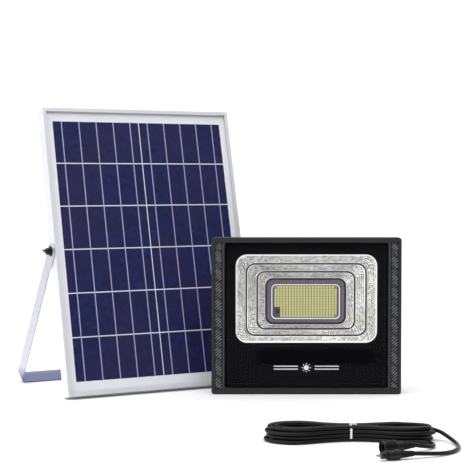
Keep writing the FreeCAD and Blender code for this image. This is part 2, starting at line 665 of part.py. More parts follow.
def frustum(near, far, y0, y1):
    """A solid between two round-cornered rectangles. Each is width, height, corner radius, drop."""
    wires = [rounded_rectangle(w, h, r, y, WINDOW_Z - drop) for (w, h, r, drop), y in ((near, y0), (far, y1))]
    return Part.makeLoft(wires, True, True)


def led_grid():
    """Middle of each place on the LED board's grid."""
    for column in range(LED_COLUMNS):
        for row in range(LED_ROWS):
            yield (column, row, (column - (LED_COLUMNS - 1) / 2) * LED_PITCH_X,
                   LED_Z + (row - (LED_ROWS - 1) / 2) * LED_PITCH_Z)


def led_module():
    """The board, its white rim, its chips, and the remote control's receiver in a corner of the grid."""
    front = LED_PLATE_FRONT
    board = plate(LED_PLATE_W, LED_PLATE_H, 3, front, LED_PLATE_BACK, LED_Z)
    rim = plate(LED_RIM_W, LED_RIM_H, LED_RIM_R, front - LED_RIM_T, front, LED_Z)
    rim = rim.cut(plate(LED_RIM_W - 2 * LED_RIM_WALL, LED_RIM_H - 2 * LED_RIM_WALL, LED_RIM_R - LED_RIM_WALL,
                        front - LED_RIM_T, front, LED_Z))
    sensor_x = (SENSOR_COLUMN - (LED_COLUMNS - 1) / 2) * LED_PITCH_X
    sensor_z = LED_Z + (SENSOR_ROW - (LED_ROWS - 1) / 2) * LED_PITCH_Z
    chips = []
    for column, row, x, z in led_grid():
        near_sensor = column < SENSOR_COLUMNS and row < SENSOR_ROWS
        corner_x = abs(x) + LED_CHIP_W / 2 - (LED_RIM_W / 2 - LED_RIM_R)
        corner_z = abs(z - LED_Z) + LED_CHIP_H / 2 - (LED_RIM_H / 2 - LED_RIM_R)
        in_corner = min(corner_x, corner_z) > 0 and math.hypot(corner_x, corner_z) > LED_RIM_R - LED_RIM_WALL
        if not near_sensor and not in_corner:
            chips.append(box(x - LED_CHIP_W / 2, front - LED_CHIP_T, z - LED_CHIP_H / 2,
                             x + LED_CHIP_W / 2, front, z + LED_CHIP_H / 2))
    sensor = cylinder(SENSOR_R, SENSOR_T - SENSOR_R / 2, Vec(sensor_x, front, sensor_z), Y_AXIS * -1)
    dome = Part.makeSphere(SENSOR_R, Vec(sensor_x, front - SENSOR_T + SENSOR_R / 2, sensor_z))
    dome = dome.common(cylinder(SENSOR_R, SENSOR_R, Vec(sensor_x, front - SENSOR_T + SENSOR_R / 2, sensor_z),
                                Y_AXIS * -1))
    return {"led_board": board, "led_rim": rim, "led_chips": group(chips),
            "remote_receiver": sensor.fuse(dome).removeSplitter()}


def rear_housing():
    """The finned back: flange, box, fins, LED seat, board posts and the two bracket lugs."""
    body = plate(FLANGE_W, FLANGE_H, BEZEL_CORNER_R, FLANGE_FRONT, FLANGE_FRONT + FLANGE_T, LIGHT_MID)
    body = body.fuse(plate(HOUSING_W, HOUSING_H, HOUSING_R, FLANGE_FRONT, WALL_BACK, LIGHT_MID))
    body = body.cut(plate(HOUSING_W - 2 * HOUSING_WALL, HOUSING_H - 2 * HOUSING_WALL, HOUSING_R - HOUSING_WALL,
                          FLANGE_FRONT - 1, WALL_FRONT, LIGHT_MID))
    low = LED_Z - LED_PLATE_H / 2
    high = LED_Z + LED_PLATE_H / 2
    adds = [box(-LED_PLATE_W / 2, LED_PLATE_BACK, low, LED_PLATE_W / 2, LED_PLATE_BACK + LED_SEAT_T, high)]
    for i in range(LED_SEAT_RIBS):
        x = (i / (LED_SEAT_RIBS - 1) - 0.5) * (LED_PLATE_W - FIN_T)
        adds.append(box(x - FIN_T / 2, LED_PLATE_BACK + 1, low, x + FIN_T / 2, WALL_FRONT + 1, high))
    for i in range(FIN_COUNT):
        x = (i - (FIN_COUNT - 1) / 2) * FIN_PITCH
        adds.append(box(x - FIN_T / 2, WALL_FRONT + 1, FIN_BOTTOM, x + FIN_T / 2, WALL_BACK + FIN_H, FIN_TOP))
    for x, z in board_posts():
        adds.append(cylinder(POST_R, BOARD_BACK_GAP + 1, Vec(x, WALL_FRONT - BOARD_BACK_GAP, z), Y_AXIS))
    pivot_y = FRONT_Y + BRACKET_PIVOT_DEPTH
    for side in (-1, 1):
        x0 = side * LUG_X - LUG_T / 2
        lug = cylinder(LUG_R, LUG_T, Vec(x0, pivot_y, BRACKET_PIVOT_Z), X_AXIS)
        lug = lug.fuse(box(x0, WALL_FRONT + 1, BRACKET_PIVOT_Z - LUG_R, x0 + LUG_T, pivot_y, BRACKET_PIVOT_Z + LUG_R))
        adds.append(lug.removeSplitter())
    body = body.multiFuse(adds)
    for side in (-1, 1):
        start = Vec(side * LUG_X - LUG_T, pivot_y, BRACKET_PIVOT_Z)
        body = body.cut(cylinder(BRACKET_BOLT_R, 2 * LUG_T, start, X_AXIS))
    for x, z in screw_places():
        body = body.cut(cylinder(SCREW_R + LOOSE_FIT, FLANGE_T + 2, Vec(x, FLANGE_FRONT - 1, z), Y_AXIS))
    for radius, z in ((GLAND_THREAD_R, GLAND_Z), (BUTTON_R + LOOSE_FIT, BUTTON_Z)):
        body = body.cut(cylinder(radius, 2 * HOUSING_WALL, Vec(FITTING_X, WALL_FRONT - 1, z), Y_AXIS))
    return body.removeSplitter()


def housing_fasteners():
    """The seal between bezel and housing, and the screws that clamp it."""
    inner = plate(OPENING_W, OPENING_H, GLASS_CORNER_R, BEZEL_BACK, FLANGE_FRONT, PANE_Z)
    seal = plate(FLANGE_W, FLANGE_H, BEZEL_CORNER_R, BEZEL_BACK, FLANGE_FRONT, LIGHT_MID).cut(inner)
    screws = []
    for x, z in screw_places():
        back = FLANGE_FRONT + FLANGE_T
        shank = cylinder(SCREW_R, SCREW_L, Vec(x, back - SCREW_L, z), Y_AXIS)
        seal = seal.cut(shank)
        head = cylinder(SCREW_HEAD_R, SCREW_HEAD_T, Vec(x, back, z), Y_AXIS)
        screws.append(shank.fuse(head).removeSplitter())
    return {"housing_seal": seal, "housing_screws": group(screws)}


def battery():
    """Three cells side by side in a holder that stands on the housing's floor."""
    pitch = CELL32_L + CELL32_GAP
    y = WALL_FRONT - CELL32_R
    z = HOUSING_FLOOR + HOLDER_PLATE_T + CELL32_R
    x0 = BATTERY_X - CELL32_COUNT * pitch / 2 - HOLDER_RIB_T / 2
    x1 = BATTERY_X + CELL32_COUNT * pitch / 2 + HOLDER_RIB_T / 2
    cells = []
    holder = box(x0, y - CELL32_R, HOUSING_FLOOR, x1, y + CELL32_R, HOUSING_FLOOR + HOLDER_PLATE_T)
    top = z + CELL32_R
    holder = holder.fuse(box(x0, y - CELL32_R, top, x1, y + CELL32_R, top + HOLDER_PLATE_T))
    for i in range(CELL32_COUNT + 1):
        x = BATTERY_X + (i - CELL32_COUNT / 2) * pitch
        holder = holder.fuse(box(x - HOLDER_RIB_T / 2, y - CELL32_R, HOUSING_FLOOR,
                                 x + HOLDER_RIB_T / 2, y + CELL32_R, top + HOLDER_PLATE_T))
        if i < CELL32_COUNT:
            cells.append(cylinder(CELL32_R, CELL32_L, Vec(x + CELL32_GAP / 2, y, z), X_AXIS))
    return {"battery_cells": group(cells), "battery_holder": holder.removeSplitter()}


def board_posts():
    """Middle of the two posts that carry the control board."""
    return [(side * (BOARD_W / 2 - 2 * POST_R), BOARD_Z) for side in (-1, 1)]


def control_electronics():
    """The control board and what is soldered on its front."""
    back = WALL_FRONT - BOARD_BACK_GAP
    front = back - BOARD_T
    board = box(-BOARD_W / 2, front, BOARD_Z - BOARD_H / 2, BOARD_W / 2, back, BOARD_Z + BOARD_H / 2)
    forward = Y_AXIS * -1
    parts = [cylinder(radius, length, Vec(x, front, BOARD_Z + up), forward) for x, up, radius, length in BOARD_CANS]
    parts += [box(x - width / 2, front - depth, BOARD_Z - height / 2, x + width / 2, front, BOARD_Z + height / 2)
              for x, width, height, depth in BOARD_BLOCKS]
    return {"control_board": board, "board_components": group(parts)}


def light_gland():
    """The cable gland on the rear wall."""
    seat = Vec(FITTING_X, WALL_BACK, GLAND_Z)
    body, nut = cable_gland(seat, Y_AXIS, HOUSING_WALL, (GLAND_HEX_R, GLAND_DOME_R, GLAND_THREAD_R))
    return {"light_gland": body, "light_gland_nut": nut}


def push_button():
    """The power button, with a retaining head inside the wall, and the ring that guides it."""
    middle = Vec(FITTING_X, WALL_BACK, BUTTON_Z)
    ring = cylinder(BUTTON_RING_R, BUTTON_RING_T, middle, Y_AXIS)
    ring = ring.cut(cylinder(BUTTON_R + RUN_FIT, BUTTON_RING_T, middle, Y_AXIS))
    outer = middle + Y_AXIS * (BUTTON_RING_T + BUTTON_OUT)
    cap = cylinder(BUTTON_R, BUTTON_L, outer, Y_AXIS * -1)
    return {"button_ring": ring, "power_button": cap}


# ---- light bracket ----------------------------------------------------------------------------------

LUG_OUT = LUG_X + LUG_T / 2
BRACKET_PIVOT = Vec(0, FRONT_Y + BRACKET_PIVOT_DEPTH, BRACKET_PIVOT_Z)
BRACKET_OUT = LUG_OUT + WASHER_T + BRACKET_STRIP_T
BRACKET_FRAME = FreeCAD.Placement(BRACKET_PIVOT, FreeCAD.Rotation())


def light_bracket():
    """The U bracket. Its foot lies flat on the floor behind the light."""
    strip = u_strip(2 * (LUG_OUT + WASHER_T), BRACKET_STRIP_T, BRACKET_STRIP_W, BRACKET_PIVOT_Z, BRACKET_BEND_R)
    strip = strip.cut(cylinder(BRACKET_BOLT_R + RUN_FIT, 3 * BRACKET_OUT, Vec(-1.5 * BRACKET_OUT, 0, 0), X_AXIS))
    for side in (-1, 1):
        foot = Vec(side * BRACKET_HOLE_PITCH / 2, 0, -BRACKET_PIVOT_Z - 1)
        strip = strip.cut(cylinder(BRACKET_HOLE_R, BRACKET_STRIP_T + 2, foot, Z_AXIS))
    return moved(strip, BRACKET_FRAME)


def bracket_fasteners():
    """A bolt through each lug and arm, with a nut inside and a washer between lug and arm."""
    bolts = []
    nuts = []
    washers = []
    for side in (-1, 1):
        out = X_AXIS * side
        lug_in = LUG_X - LUG_T / 2
        nuts.append(hexagon(BRACKET_HEAD_R, BRACKET_NUT_T, out * (lug_in - BRACKET_NUT_T), out).cut(
            cylinder(BRACKET_BOLT_R, BRACKET_NUT_T, out * (lug_in - BRACKET_NUT_T), out)))
        bolt = cylinder(BRACKET_BOLT_R, BRACKET_OUT - lug_in + BRACKET_NUT_T, out * (lug_in - BRACKET_NUT_T), out)
        bolts.append(bolt.fuse(hexagon(BRACKET_HEAD_R, BRACKET_HEAD_T, out * BRACKET_OUT, out)).removeSplitter())
        ring = cylinder(WASHER_R, WASHER_T, out * LUG_OUT, out)
        washers.append(ring.cut(cylinder(BRACKET_BOLT_R, WASHER_T, out * LUG_OUT, out)))
    return {"bracket_bolts": group(moved(s, BRACKET_FRAME) for s in bolts),
            "bracket_nuts": group(moved(s, BRACKET_FRAME) for s in nuts),
            "bracket_washers": group(moved(s, BRACKET_FRAME) for s in washers)}


# ---- extension cable: own frame has its origin on the floor under the hank's middle ------------------

def hank_reach(right):
    """Half height of the outermost turn's loop on one side."""
    return HANK_RIGHT_H if right else HANK_LEFT_H


def turn_point(angle, tip, loop_in, waist):
    """One point of a turn: a loop at each end, drawn together at the waist.

    x = tip cos(angle), y = (waist + (loop - waist) s) r sign(sin angle), where s rises smoothly from 0
    to 1 between 15% and 65% of the way to the tip and r = sqrt(1 - |x / tip|^5) closes the end.
    """
    x = tip * math.cos(angle)
    t = abs(x) / tip
    s = min(max((t - 0.15) / 0.5, 0.0), 1.0)
    s = s * s * (3 - 2 * s)
    loop = hank_reach(x > 0) - loop_in
    half = (waist + (loop - waist) * s) * math.sqrt(max(1 - t ** 5, 0.0))
    return x, math.copysign(half, math.sin(angle))


def hank_outline(tip, loop_in, waist):
    """A closed curve on the floor through 40 points of one turn, as a face."""
    points = []
    for i in range(40):
        x, y = turn_point(2 * math.pi * (i + 0.5) / 40, tip, loop_in, waist)
        points.append(Vec(x, y, 0))
    curve = Part.BSplineCurve()
    curve.interpolate(Points=points, PeriodicFlag=True)
    return Part.Face(Part.Wire([curve.toShape()]))


def hank():
    """The hank's outer shape, with the two loops open, and the tie around its waist."""
    top = HANK_LAYERS * CORD_D
    body = hank_outline(HANK_HALF_L + CORD_R, -CORD_R, 2 * CORD_D).extrude(Vec(0, 0, top))
    loops = hank_outline(HANK_HALF_L - HANK_INNER_IN - CORD_R, HANK_INNER_H + CORD_R, 0.6)
    loops = loops.extrude(Vec(0, 0, top + 2)).cut(box(-34, -60, -1, 34, 60, top + 3))
    body = body.cut(moved(loops, FreeCAD.Placement(Vec(0, 0, -1), FreeCAD.Rotation())))
    half = 2 * CORD_D + TIE_T
    band = box(-TIE_W / 2, -half, 0, TIE_W / 2, half, top)
    core = box(-TIE_W / 2, -half + TIE_T, TIE_T, TIE_W / 2, half - TIE_T, top - TIE_T)
    body = body.cut(band.cut(core))
    knot = cylinder(TIE_KNOT_R, TIE_W, Vec(-TIE_W / 2, 0, top + TIE_KNOT_R - 0.2), X_AXIS)
    tie = band.cut(core).fuse(knot).removeSplitter()
    return {"cable_hank": body, "hank_tie": tie}


def route_arcs(points):
    """Tangent points and radius of the arc at each inner point of a route."""
    arcs = []
    for a, b, c in zip(points[:-2], points[1:-1], points[2:]):
        before = (b - a)
        after = (c - b)
        turn = before.getAngle(after)
        shorter = min(before.Length, after.Length)
        radius = 0.45 * shorter / math.tan(turn / 2)
        cut_back = 0.45 * shorter
        start = b - before.normalize() * cut_back
        end = b + after.normalize() * cut_back
        inward = ((start + end) * 0.5 - b).normalize()
        middle = b + inward * (radius / math.cos(turn / 2) - radius)
        arcs.append((start, middle, end, radius))
    return arcs


def cord_tube(name, route):
    """A round tube along straight runs joined by tangent arcs."""
    points = [Vec(*p) for p in route]
    edges = []
    at = points[0]
    radii = []
    for start, middle, end, radius in route_arcs(points):
        edges.append(Part.makeLine(at, start))
        edges.append(Part.Arc(start, middle, end).toShape())
        radii.append(radius)
        at = end
    edges.append(Part.makeLine(at, points[-1]))
    path = Part.Wire(edges)
    ring = Part.Wire([Part.makeCircle(CORD_R, points[0], points[1] - points[0])])
    tube = path.makePipeShell([ring], True, True)
    expected = math.pi * CORD_R ** 2 * path.Length
    print(name, "bend radii", [round(r, 1) for r in radii], "length", round(path.Length, 1),
          "volume / section x length", round(tube.Volume / expected, 4))
    return tube


def connector_frame(route):
    """Origin and direction of a connector: it continues its tail's last run."""
    before = Vec(*route[-2])
    end = Vec(*route[-1])
    along = Vec(end.x - before.x, end.y - before.y, 0).normalize()
    return FreeCAD.Placement(end, FreeCAD.Rotation(X_AXIS, along))


def boot(base_r):
    """A tapered strain relief with ring grooves, from the cable along +X to the connector's body."""
    tip_r = CORD_R + 0.9
    body = Part.makeCone(tip_r, base_r, BOOT_L, Vec(0, 0, 0), X_AXIS)
    for i in range(BOOT_RIBS):
        x = BOOT_L * (i + 0.7) / (BOOT_RIBS + 0.8)
        outer = cylinder(base_r + 2, BOOT_GROOVE_W, Vec(x, 0, 0), X_AXIS)
        core_r = tip_r + (base_r - tip_r) * x / BOOT_L - BOOT_GROOVE
        core = cylinder(core_r, BOOT_GROOVE_W, Vec(x, 0, 0), X_AXIS)
        body = body.cut(outer.cut(core))
    return body.cut(cylinder(CORD_R, CORD_IN_BOOT, Vec(0, 0, 0), X_AXIS)).removeSplitter()


def socket_connector():
    """The socket: boot, body with a collar, contacts in its floor, and the ribbed coupling nut."""
    x0 = BOOT_L
    collar = x0 + SOCKET_COLLAR_AT
    face = x0 + SOCKET_L
    body = cylinder(SOCKET_R, SOCKET_L, Vec(x0, 0, 0), X_AXIS)
    body = body.fuse(cylinder(SOCKET_COLLAR_R, SOCKET_COLLAR_T, Vec(collar, 0, 0), X_AXIS))
    body = body.cut(cylinder(SOCKET_BORE_R, SOCKET_BORE_L, Vec(face - SOCKET_BORE_L, 0, 0), X_AXIS))
    contacts = []
    for side in (-1, 1):
        start = Vec(face - SOCKET_BORE_L - PIN_L - 1, side * PIN_SPACING / 2, 0)
        well = cylinder(CONTACT_R + 0.5, PIN_L + 1, start, X_AXIS)
        body = body.cut(well)
        contacts.append(well.cut(cylinder(CONTACT_R, PIN_L, start + X_AXIS, X_AXIS)))
    inside = collar - NUT_SHOULDER_T
    nut = cylinder(NUT_R, face + NUT_FRONT_OUT - inside, Vec(inside, 0, 0), X_AXIS)
    nut = nut.cut(cylinder(SOCKET_R + RUN_FIT, NUT_SHOULDER_T, Vec(inside, 0, 0), X_AXIS))
    nut = nut.cut(cylinder(NUT_BORE_R, NUT_L + 9, Vec(collar - RUN_FIT, 0, 0), X_AXIS))
    grooves = []
    for i in range(NUT_RIBS):
        angle = 2 * math.pi * (i + 0.5) / NUT_RIBS
        out = Vec(0, math.cos(angle), math.sin(angle)) * (NUT_R + 0.6 - NUT_RIB_DEPTH)
        grooves.append(cylinder(NUT_RIB_DEPTH, NUT_L - 6, Vec(inside + 2, 0, 0) + out, X_AXIS))
    nut = nut.cut(grooves[0].multiFuse(grooves[1:]))
    return {"socket_boot": boot(SOCKET_BOOT_R), "socket_body": body.removeSplitter(),
            "socket_contacts": group(contacts), "coupling_nut": nut.removeSplitter()}


def plug_connector():
    """The plug: boot, body with a threaded front, nose with a sealing ring, and two pins."""
    x0 = BOOT_L
    thread = x0 + PLUG_GRIP_L
    face = x0 + PLUG_L
    body = cylinder(PLUG_R, PLUG_GRIP_L, Vec(x0, 0, 0), X_AXIS)
    body = body.fuse(cylinder(PLUG_THREAD_R, PLUG_L - PLUG_GRIP_L, Vec(thread, 0, 0), X_AXIS))
    body = body.fuse(cylinder(PLUG_NECK_R, PLUG_SEAL_T, Vec(face, 0, 0), X_AXIS))
    nose = face + PLUG_SEAL_T
    body = body.fuse(cylinder(PLUG_NOSE_R, PLUG_NOSE_L, Vec(nose, 0, 0), X_AXIS))
    ring = cylinder(PLUG_SEAL_R, PLUG_SEAL_T, Vec(face, 0, 0), X_AXIS)
    ring = ring.cut(cylinder(PLUG_NECK_R, PLUG_SEAL_T, Vec(face, 0, 0), X_AXIS))
    pins = []
    for side in (-1, 1):
        start = Vec(nose + PLUG_NOSE_L - 2, side * PIN_SPACING / 2, 0)
        pin = cylinder(PIN_R, PIN_L + 2, start, X_AXIS)
        body = body.cut(pin)
        pins.append(pin)
    return {"plug_boot": boot(PLUG_BOOT_R), "plug_body": body.removeSplitter(),
            "plug_seal": ring, "plug_pins": group(pins)}


def extension_cable():
    """Hank, tie, both tails and both connectors, in the model's frame."""
    place = FreeCAD.Placement(CABLE_PLACE, FreeCAD.Rotation())
    nodes = hank()
    body = nodes["cable_hank"]
    for name, route in (("socket_tail", SOCKET_TAIL), ("plug_tail", PLUG_TAIL)):
        tube = cord_tube(name, route)
        nodes[name] = tube.cut(body)
    for route, pieces in ((SOCKET_TAIL, socket_connector()), (PLUG_TAIL, plug_connector())):
        frame = connector_frame(route)
        nodes.update({name: moved(shape, frame) for name, shape in pieces.items()})
    return {name: moved(shape, place) for name, shape in nodes.items()}


# ---- the whole ----------------------------------------------------------------------------------------

def build():
    """Every node's shape by name, in the model's frame."""
    panel = panel_rails()
    panel.update(laminate())
    panel.update(junction_box())
    panel["panel_corner_keys"] = corner_keys()
    nodes = {name: moved(shape, PANEL_FRAME) for name, shape in panel.items()}
    nodes["stand_bolts"] = pivot_bolts()
    nodes["stand_washers"] = stand_washers()
    nodes["panel_stand"] = panel_stand()
    nodes["left_wing_nut"] = wing_nut(-1)
    nodes["right_wing_nut"] = wing_nut(1)
    nodes["front_frame"] = front_frame()
    nodes["reflector"] = reflector()
    nodes["rear_housing"] = rear_housing()
    nodes["light_bracket"] = light_bracket()
    for pieces in (front_glazing, led_module, housing_fasteners, battery, control_electronics, light_gland,
                   push_button, bracket_fasteners, extension_cable):
        nodes.update(pieces())
    return nodes


os.makedirs("parts", exist_ok=True)
for node, solid in sorted(build().items()):
    if not solid.isValid() or solid.Volume <= 0:
        print("not valid:", node)
    solid.exportStep("parts/" + node + ".step")
    box_now = solid.BoundBox
    print(f"{node:24s} solids {len(solid.Solids):3d} volume {solid.Volume:10.1f}"
          f"  x {box_now.XMin:7.1f} {box_now.XMax:7.1f}  y {box_now.YMin:7.1f} {box_now.YMax:7.1f}"
          f"  z {box_now.ZMin:6.1f} {box_now.ZMax:6.1f}")
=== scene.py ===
"""Solar flood light kit in metres: solar panel on its stand, LED flood light, and a tied extension cable."""
import bpy
import math
import numpy as np
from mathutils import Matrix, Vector


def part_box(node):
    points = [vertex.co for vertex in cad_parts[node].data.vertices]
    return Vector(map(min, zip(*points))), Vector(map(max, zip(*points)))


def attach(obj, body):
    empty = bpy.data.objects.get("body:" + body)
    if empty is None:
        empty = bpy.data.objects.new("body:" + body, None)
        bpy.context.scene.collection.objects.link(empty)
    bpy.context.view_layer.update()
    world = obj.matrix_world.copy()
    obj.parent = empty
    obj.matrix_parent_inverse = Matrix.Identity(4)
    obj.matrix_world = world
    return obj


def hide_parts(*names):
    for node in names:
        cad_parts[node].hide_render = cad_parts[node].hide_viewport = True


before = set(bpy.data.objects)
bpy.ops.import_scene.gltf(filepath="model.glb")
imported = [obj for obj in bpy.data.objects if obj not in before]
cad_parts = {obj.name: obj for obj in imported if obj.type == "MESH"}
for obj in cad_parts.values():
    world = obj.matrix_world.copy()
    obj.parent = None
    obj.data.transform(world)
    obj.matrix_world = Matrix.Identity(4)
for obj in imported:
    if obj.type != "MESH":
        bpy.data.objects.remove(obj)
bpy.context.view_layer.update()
MM = 0.001                  # a millimetre in metres


# ---- small helpers -------------------------------------------------------------------------------

def tint(code, alpha=1.0):
    """An sRGB hex colour as linear RGBA."""
    parts = [int(code[i:i + 2], 16) / 255 for i in (1, 3, 5)]
    linear = [c / 12.92 if c <= 0.04045 else ((c + 0.055) / 1.055) ** 2.4 for c in parts]
    return (*linear, alpha)


def add(tree, kind, links=None, **settings):
    """Add one shader node. Each setting names one of its attributes or one of its input sockets."""
    node = tree.nodes.new(kind)
    for key, value in settings.items():
        if hasattr(node, key):
            setattr(node, key, value)
        else:
            node.inputs[key.replace("_", " ")].default_value = value
    for socket, source in (links or {}).items():
        tree.links.new(source, node.inputs[socket])
    return node


def material(name):
    """An empty material with its Principled shader."""
    made = bpy.data.materials.new(name)
    made.use_nodes = True
    return made, made.node_tree, made.node_tree.nodes["Principled BSDF"]


def paint(obj, *materials):
    """Give an object these materials in place of what it has. A new mesh keeps its faces' numbers."""
    if len(obj.data.materials):
        obj.data.materials.clear()
    for m in materials:
        obj.data.materials.append(m)
    return obj


def shape(name, points, faces):
    """A new object in the scene, with its mesh made from points in metres and faces."""
    mesh = bpy.data.meshes.new(name)
    mesh.from_pydata(points, [], faces)
    mesh.update()
    obj = bpy.data.objects.new(name, mesh)
    bpy.context.scene.collection.objects.link(obj)
    return obj


def surface(name, points, wrap_rows=False, wrap_columns=False, smooth=True, slots=None):
    """A mesh from an (rows, columns, 3) array in metres, closed in either direction where asked.

    Each face joins point (i, j), (i, j+1), (i+1, j+1) and (i+1, j). slots gives each row of faces its
    material number.
    """
    rows, columns = points.shape[:2]
    index = np.arange(rows * columns).reshape(rows, columns)
    i = np.arange(rows if wrap_rows else rows - 1)
    j = np.arange(columns if wrap_columns else columns - 1)
    i, j = np.meshgrid(i, j, indexing="ij")
    up = (i + 1) % rows
    right = (j + 1) % columns
    quads = np.stack([index[i, j], index[i, right], index[up, right], index[up, j]], axis=-1).reshape(-1, 4)
    obj = shape(name, points.reshape(-1, 3).tolist(), quads.tolist())
    obj.data.polygons.foreach_set("use_smooth", [smooth] * len(quads))
    if slots is not None:
        numbers = np.repeat(slots, len(quads) // len(slots))
        obj.data.polygons.foreach_set("material_index", numbers.tolist())
    obj.data.update()
    return obj


def mark(obj, values):
    """Give every vertex its own value of painted light and shade, under the name raised, for the material to
    read.
    """
    layer = obj.data.attributes.new("painted_light", "FLOAT", "POINT")
    layer.data.foreach_set("value", np.asarray(values, float).ravel())


def copies(name, points, faces, centres, material_numbers):
    """One small shape, given by points and faces, repeated at many centres in one mesh."""
    points = np.asarray(points, float)
    centres = np.asarray(centres, float)
    all_points = (centres[:, None, :] + points[None, :, :]).reshape(-1, 3)
    shifts = (np.arange(len(centres)) * len(points)).tolist()
    all_faces = [[k + shift for k in face] for shift in shifts for face in faces]
    obj = shape(name, all_points.tolist(), all_faces)
    obj.data.polygons.foreach_set("material_index", np.tile(material_numbers, len(centres)).tolist())
    obj.data.update()
    return obj


def ease(share):
    """A smooth rise from 0 to 1, level at both ends."""
    share = np.clip(share, 0, 1)
    return share * share * (3 - 2 * share)


def middle(node):
    """Centre of a CAD node's box."""
    low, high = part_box(node)
    return (low + high) / 2


# ---- materials -----------------------------------------------------------------------------------

def anodised_aluminium():
    """Extruded, clear-anodised aluminium: bright and satin, its sheen uneven on a fine scale."""
    made, tree, shader = material("anodised_aluminium")
    where = add(tree, "ShaderNodeTexCoord")
    fine = add(tree, "ShaderNodeTexNoise", {"Vector": where.outputs["Object"]}, Scale=900.0, Detail=2.0)
    rough = add(tree, "ShaderNodeMapRange", {"Value": fine.outputs["Fac"]}, To_Min=0.30, To_Max=0.42)
    tree.links.new(rough.outputs["Result"], shader.inputs["Roughness"])
    shader.inputs["Base Color"].default_value = tint("#e6e8ec")
    shader.inputs["Metallic"].default_value = 0.25
    return made


def zinc_plated_steel():
    """Bright zinc-plated strip steel: cloudy, soft highlights. Painted shade makes it bluer and darker near
    the floor.
    """
    made, tree, shader = material("zinc_plated_steel")
    where = add(tree, "ShaderNodeTexCoord")
    cloud = add(tree, "ShaderNodeTexNoise", {"Vector": where.outputs["Object"]}, Scale=120.0, Detail=3.0)
    colour = add(tree, "ShaderNodeMixRGB", {"Fac": cloud.outputs["Fac"]}, Color1=tint("#c4c6d2"),
                 Color2=tint("#dcdde6"))
    place = add(tree, "ShaderNodeSeparateXYZ", {"Vector": where.outputs["Object"]})
    # painted shade: the steel turns bluer and darker towards the floor
    floor_shade = add(tree, "ShaderNodeMapRange", {"Value": place.outputs["Z"]}, From_Min=0.03, From_Max=0.012)
    floor_shaded_colour = add(tree, "ShaderNodeMixRGB",
               {"Fac": floor_shade.outputs["Result"], "Color1": colour.outputs["Color"]}, Color2=tint("#7c80a0"))
    rough = add(tree, "ShaderNodeMapRange", {"Value": cloud.outputs["Fac"]}, To_Min=0.28, To_Max=0.46)
    tree.links.new(floor_shaded_colour.outputs["Color"], shader.inputs["Base Color"])
    tree.links.new(rough.outputs["Result"], shader.inputs["Roughness"])
    shader.inputs["Metallic"].default_value = 0.8
    return made


def clear_glass(name, ior):
    """Tempered glass with a low-reflection coating, so its index is set below glass's 1.5: clear, with
    faint sharp reflections. Shadow rays pass, as light does through a flat pane.
    """
    made, tree, shader = material(name)
    shader.inputs["Base Color"].default_value = tint("#ffffff")
    shader.inputs["Roughness"].default_value = 0.02
    shader.inputs["IOR"].default_value = ior
    shader.inputs["Transmission Weight"].default_value = 1.0
    path = add(tree, "ShaderNodeLightPath")
    through = add(tree, "ShaderNodeBsdfTransparent")
    mix = add(tree, "ShaderNodeMixShader", {"Fac": path.outputs["Is Shadow Ray"]})
    tree.links.new(shader.outputs["BSDF"], mix.inputs[1])
    tree.links.new(through.outputs["BSDF"], mix.inputs[2])
    tree.links.new(mix.outputs["Shader"], tree.nodes["Material Output"].inputs["Surface"])
    return made


def polycrystalline_silicon():
    """Cast silicon under a blue anti-reflection layer: grains of 4 to 12 mm, each its own shade, and a
    layer that turns purple in patches some 100 mm across.
    """
    made, tree, shader = material("polycrystalline_silicon")
    where = add(tree, "ShaderNodeTexCoord")
    grains = add(tree, "ShaderNodeTexVoronoi", {"Vector": where.outputs["Object"]}, Scale=130.0)
    shade = add(tree, "ShaderNodeSeparateColor", {"Color": grains.outputs["Color"]})
    colour = add(tree, "ShaderNodeValToRGB", {"Fac": shade.outputs["Red"]})
    colour.color_ramp.elements[0].color = tint("#16193f")
    colour.color_ramp.elements[1].color = tint("#1b2156")
    floor_shaded_colour = add(tree, "ShaderNodeTexNoise", {"Vector": where.outputs["Object"]}, Scale=9.0, Detail=1.0)
    amount = add(tree, "ShaderNodeMapRange", {"Value": floor_shaded_colour.outputs["Fac"]}, From_Min=0.42, From_Max=0.62,
                 To_Max=0.4)
    both = add(tree, "ShaderNodeMixRGB", {"Fac": amount.outputs["Result"], "Color1": colour.outputs["Color"]},
               Color2=tint("#2a2146"))
    tree.links.new(both.outputs["Color"], shader.inputs["Base Color"])
    shader.inputs["Roughness"].default_value = 0.4
    shader.inputs["Specular IOR Level"].default_value = 0.3
    return made


def tinned_copper():
    """Tinned copper ribbon, dull, with a lavender tint painted as a reflection of the blue film around it."""
    made, tree, shader = material("tinned_copper")
    where = add(tree, "ShaderNodeTexCoord")
    solder = add(tree, "ShaderNodeTexNoise", {"Vector": where.outputs["Object"]}, Scale=300.0, Detail=2.0)
    # painted reflection: lavender tint from the blue cells around the ribbon
    colour = add(tree, "ShaderNodeMixRGB", {"Fac": solder.outputs["Fac"]}, Color1=tint("#a0a0ca"),
                 Color2=tint("#bebee0"))
    tree.links.new(colour.outputs["Color"], shader.inputs["Base Color"])
    shader.inputs["Roughness"].default_value = 0.45
    shader.inputs["Metallic"].default_value = 0.1
    return made


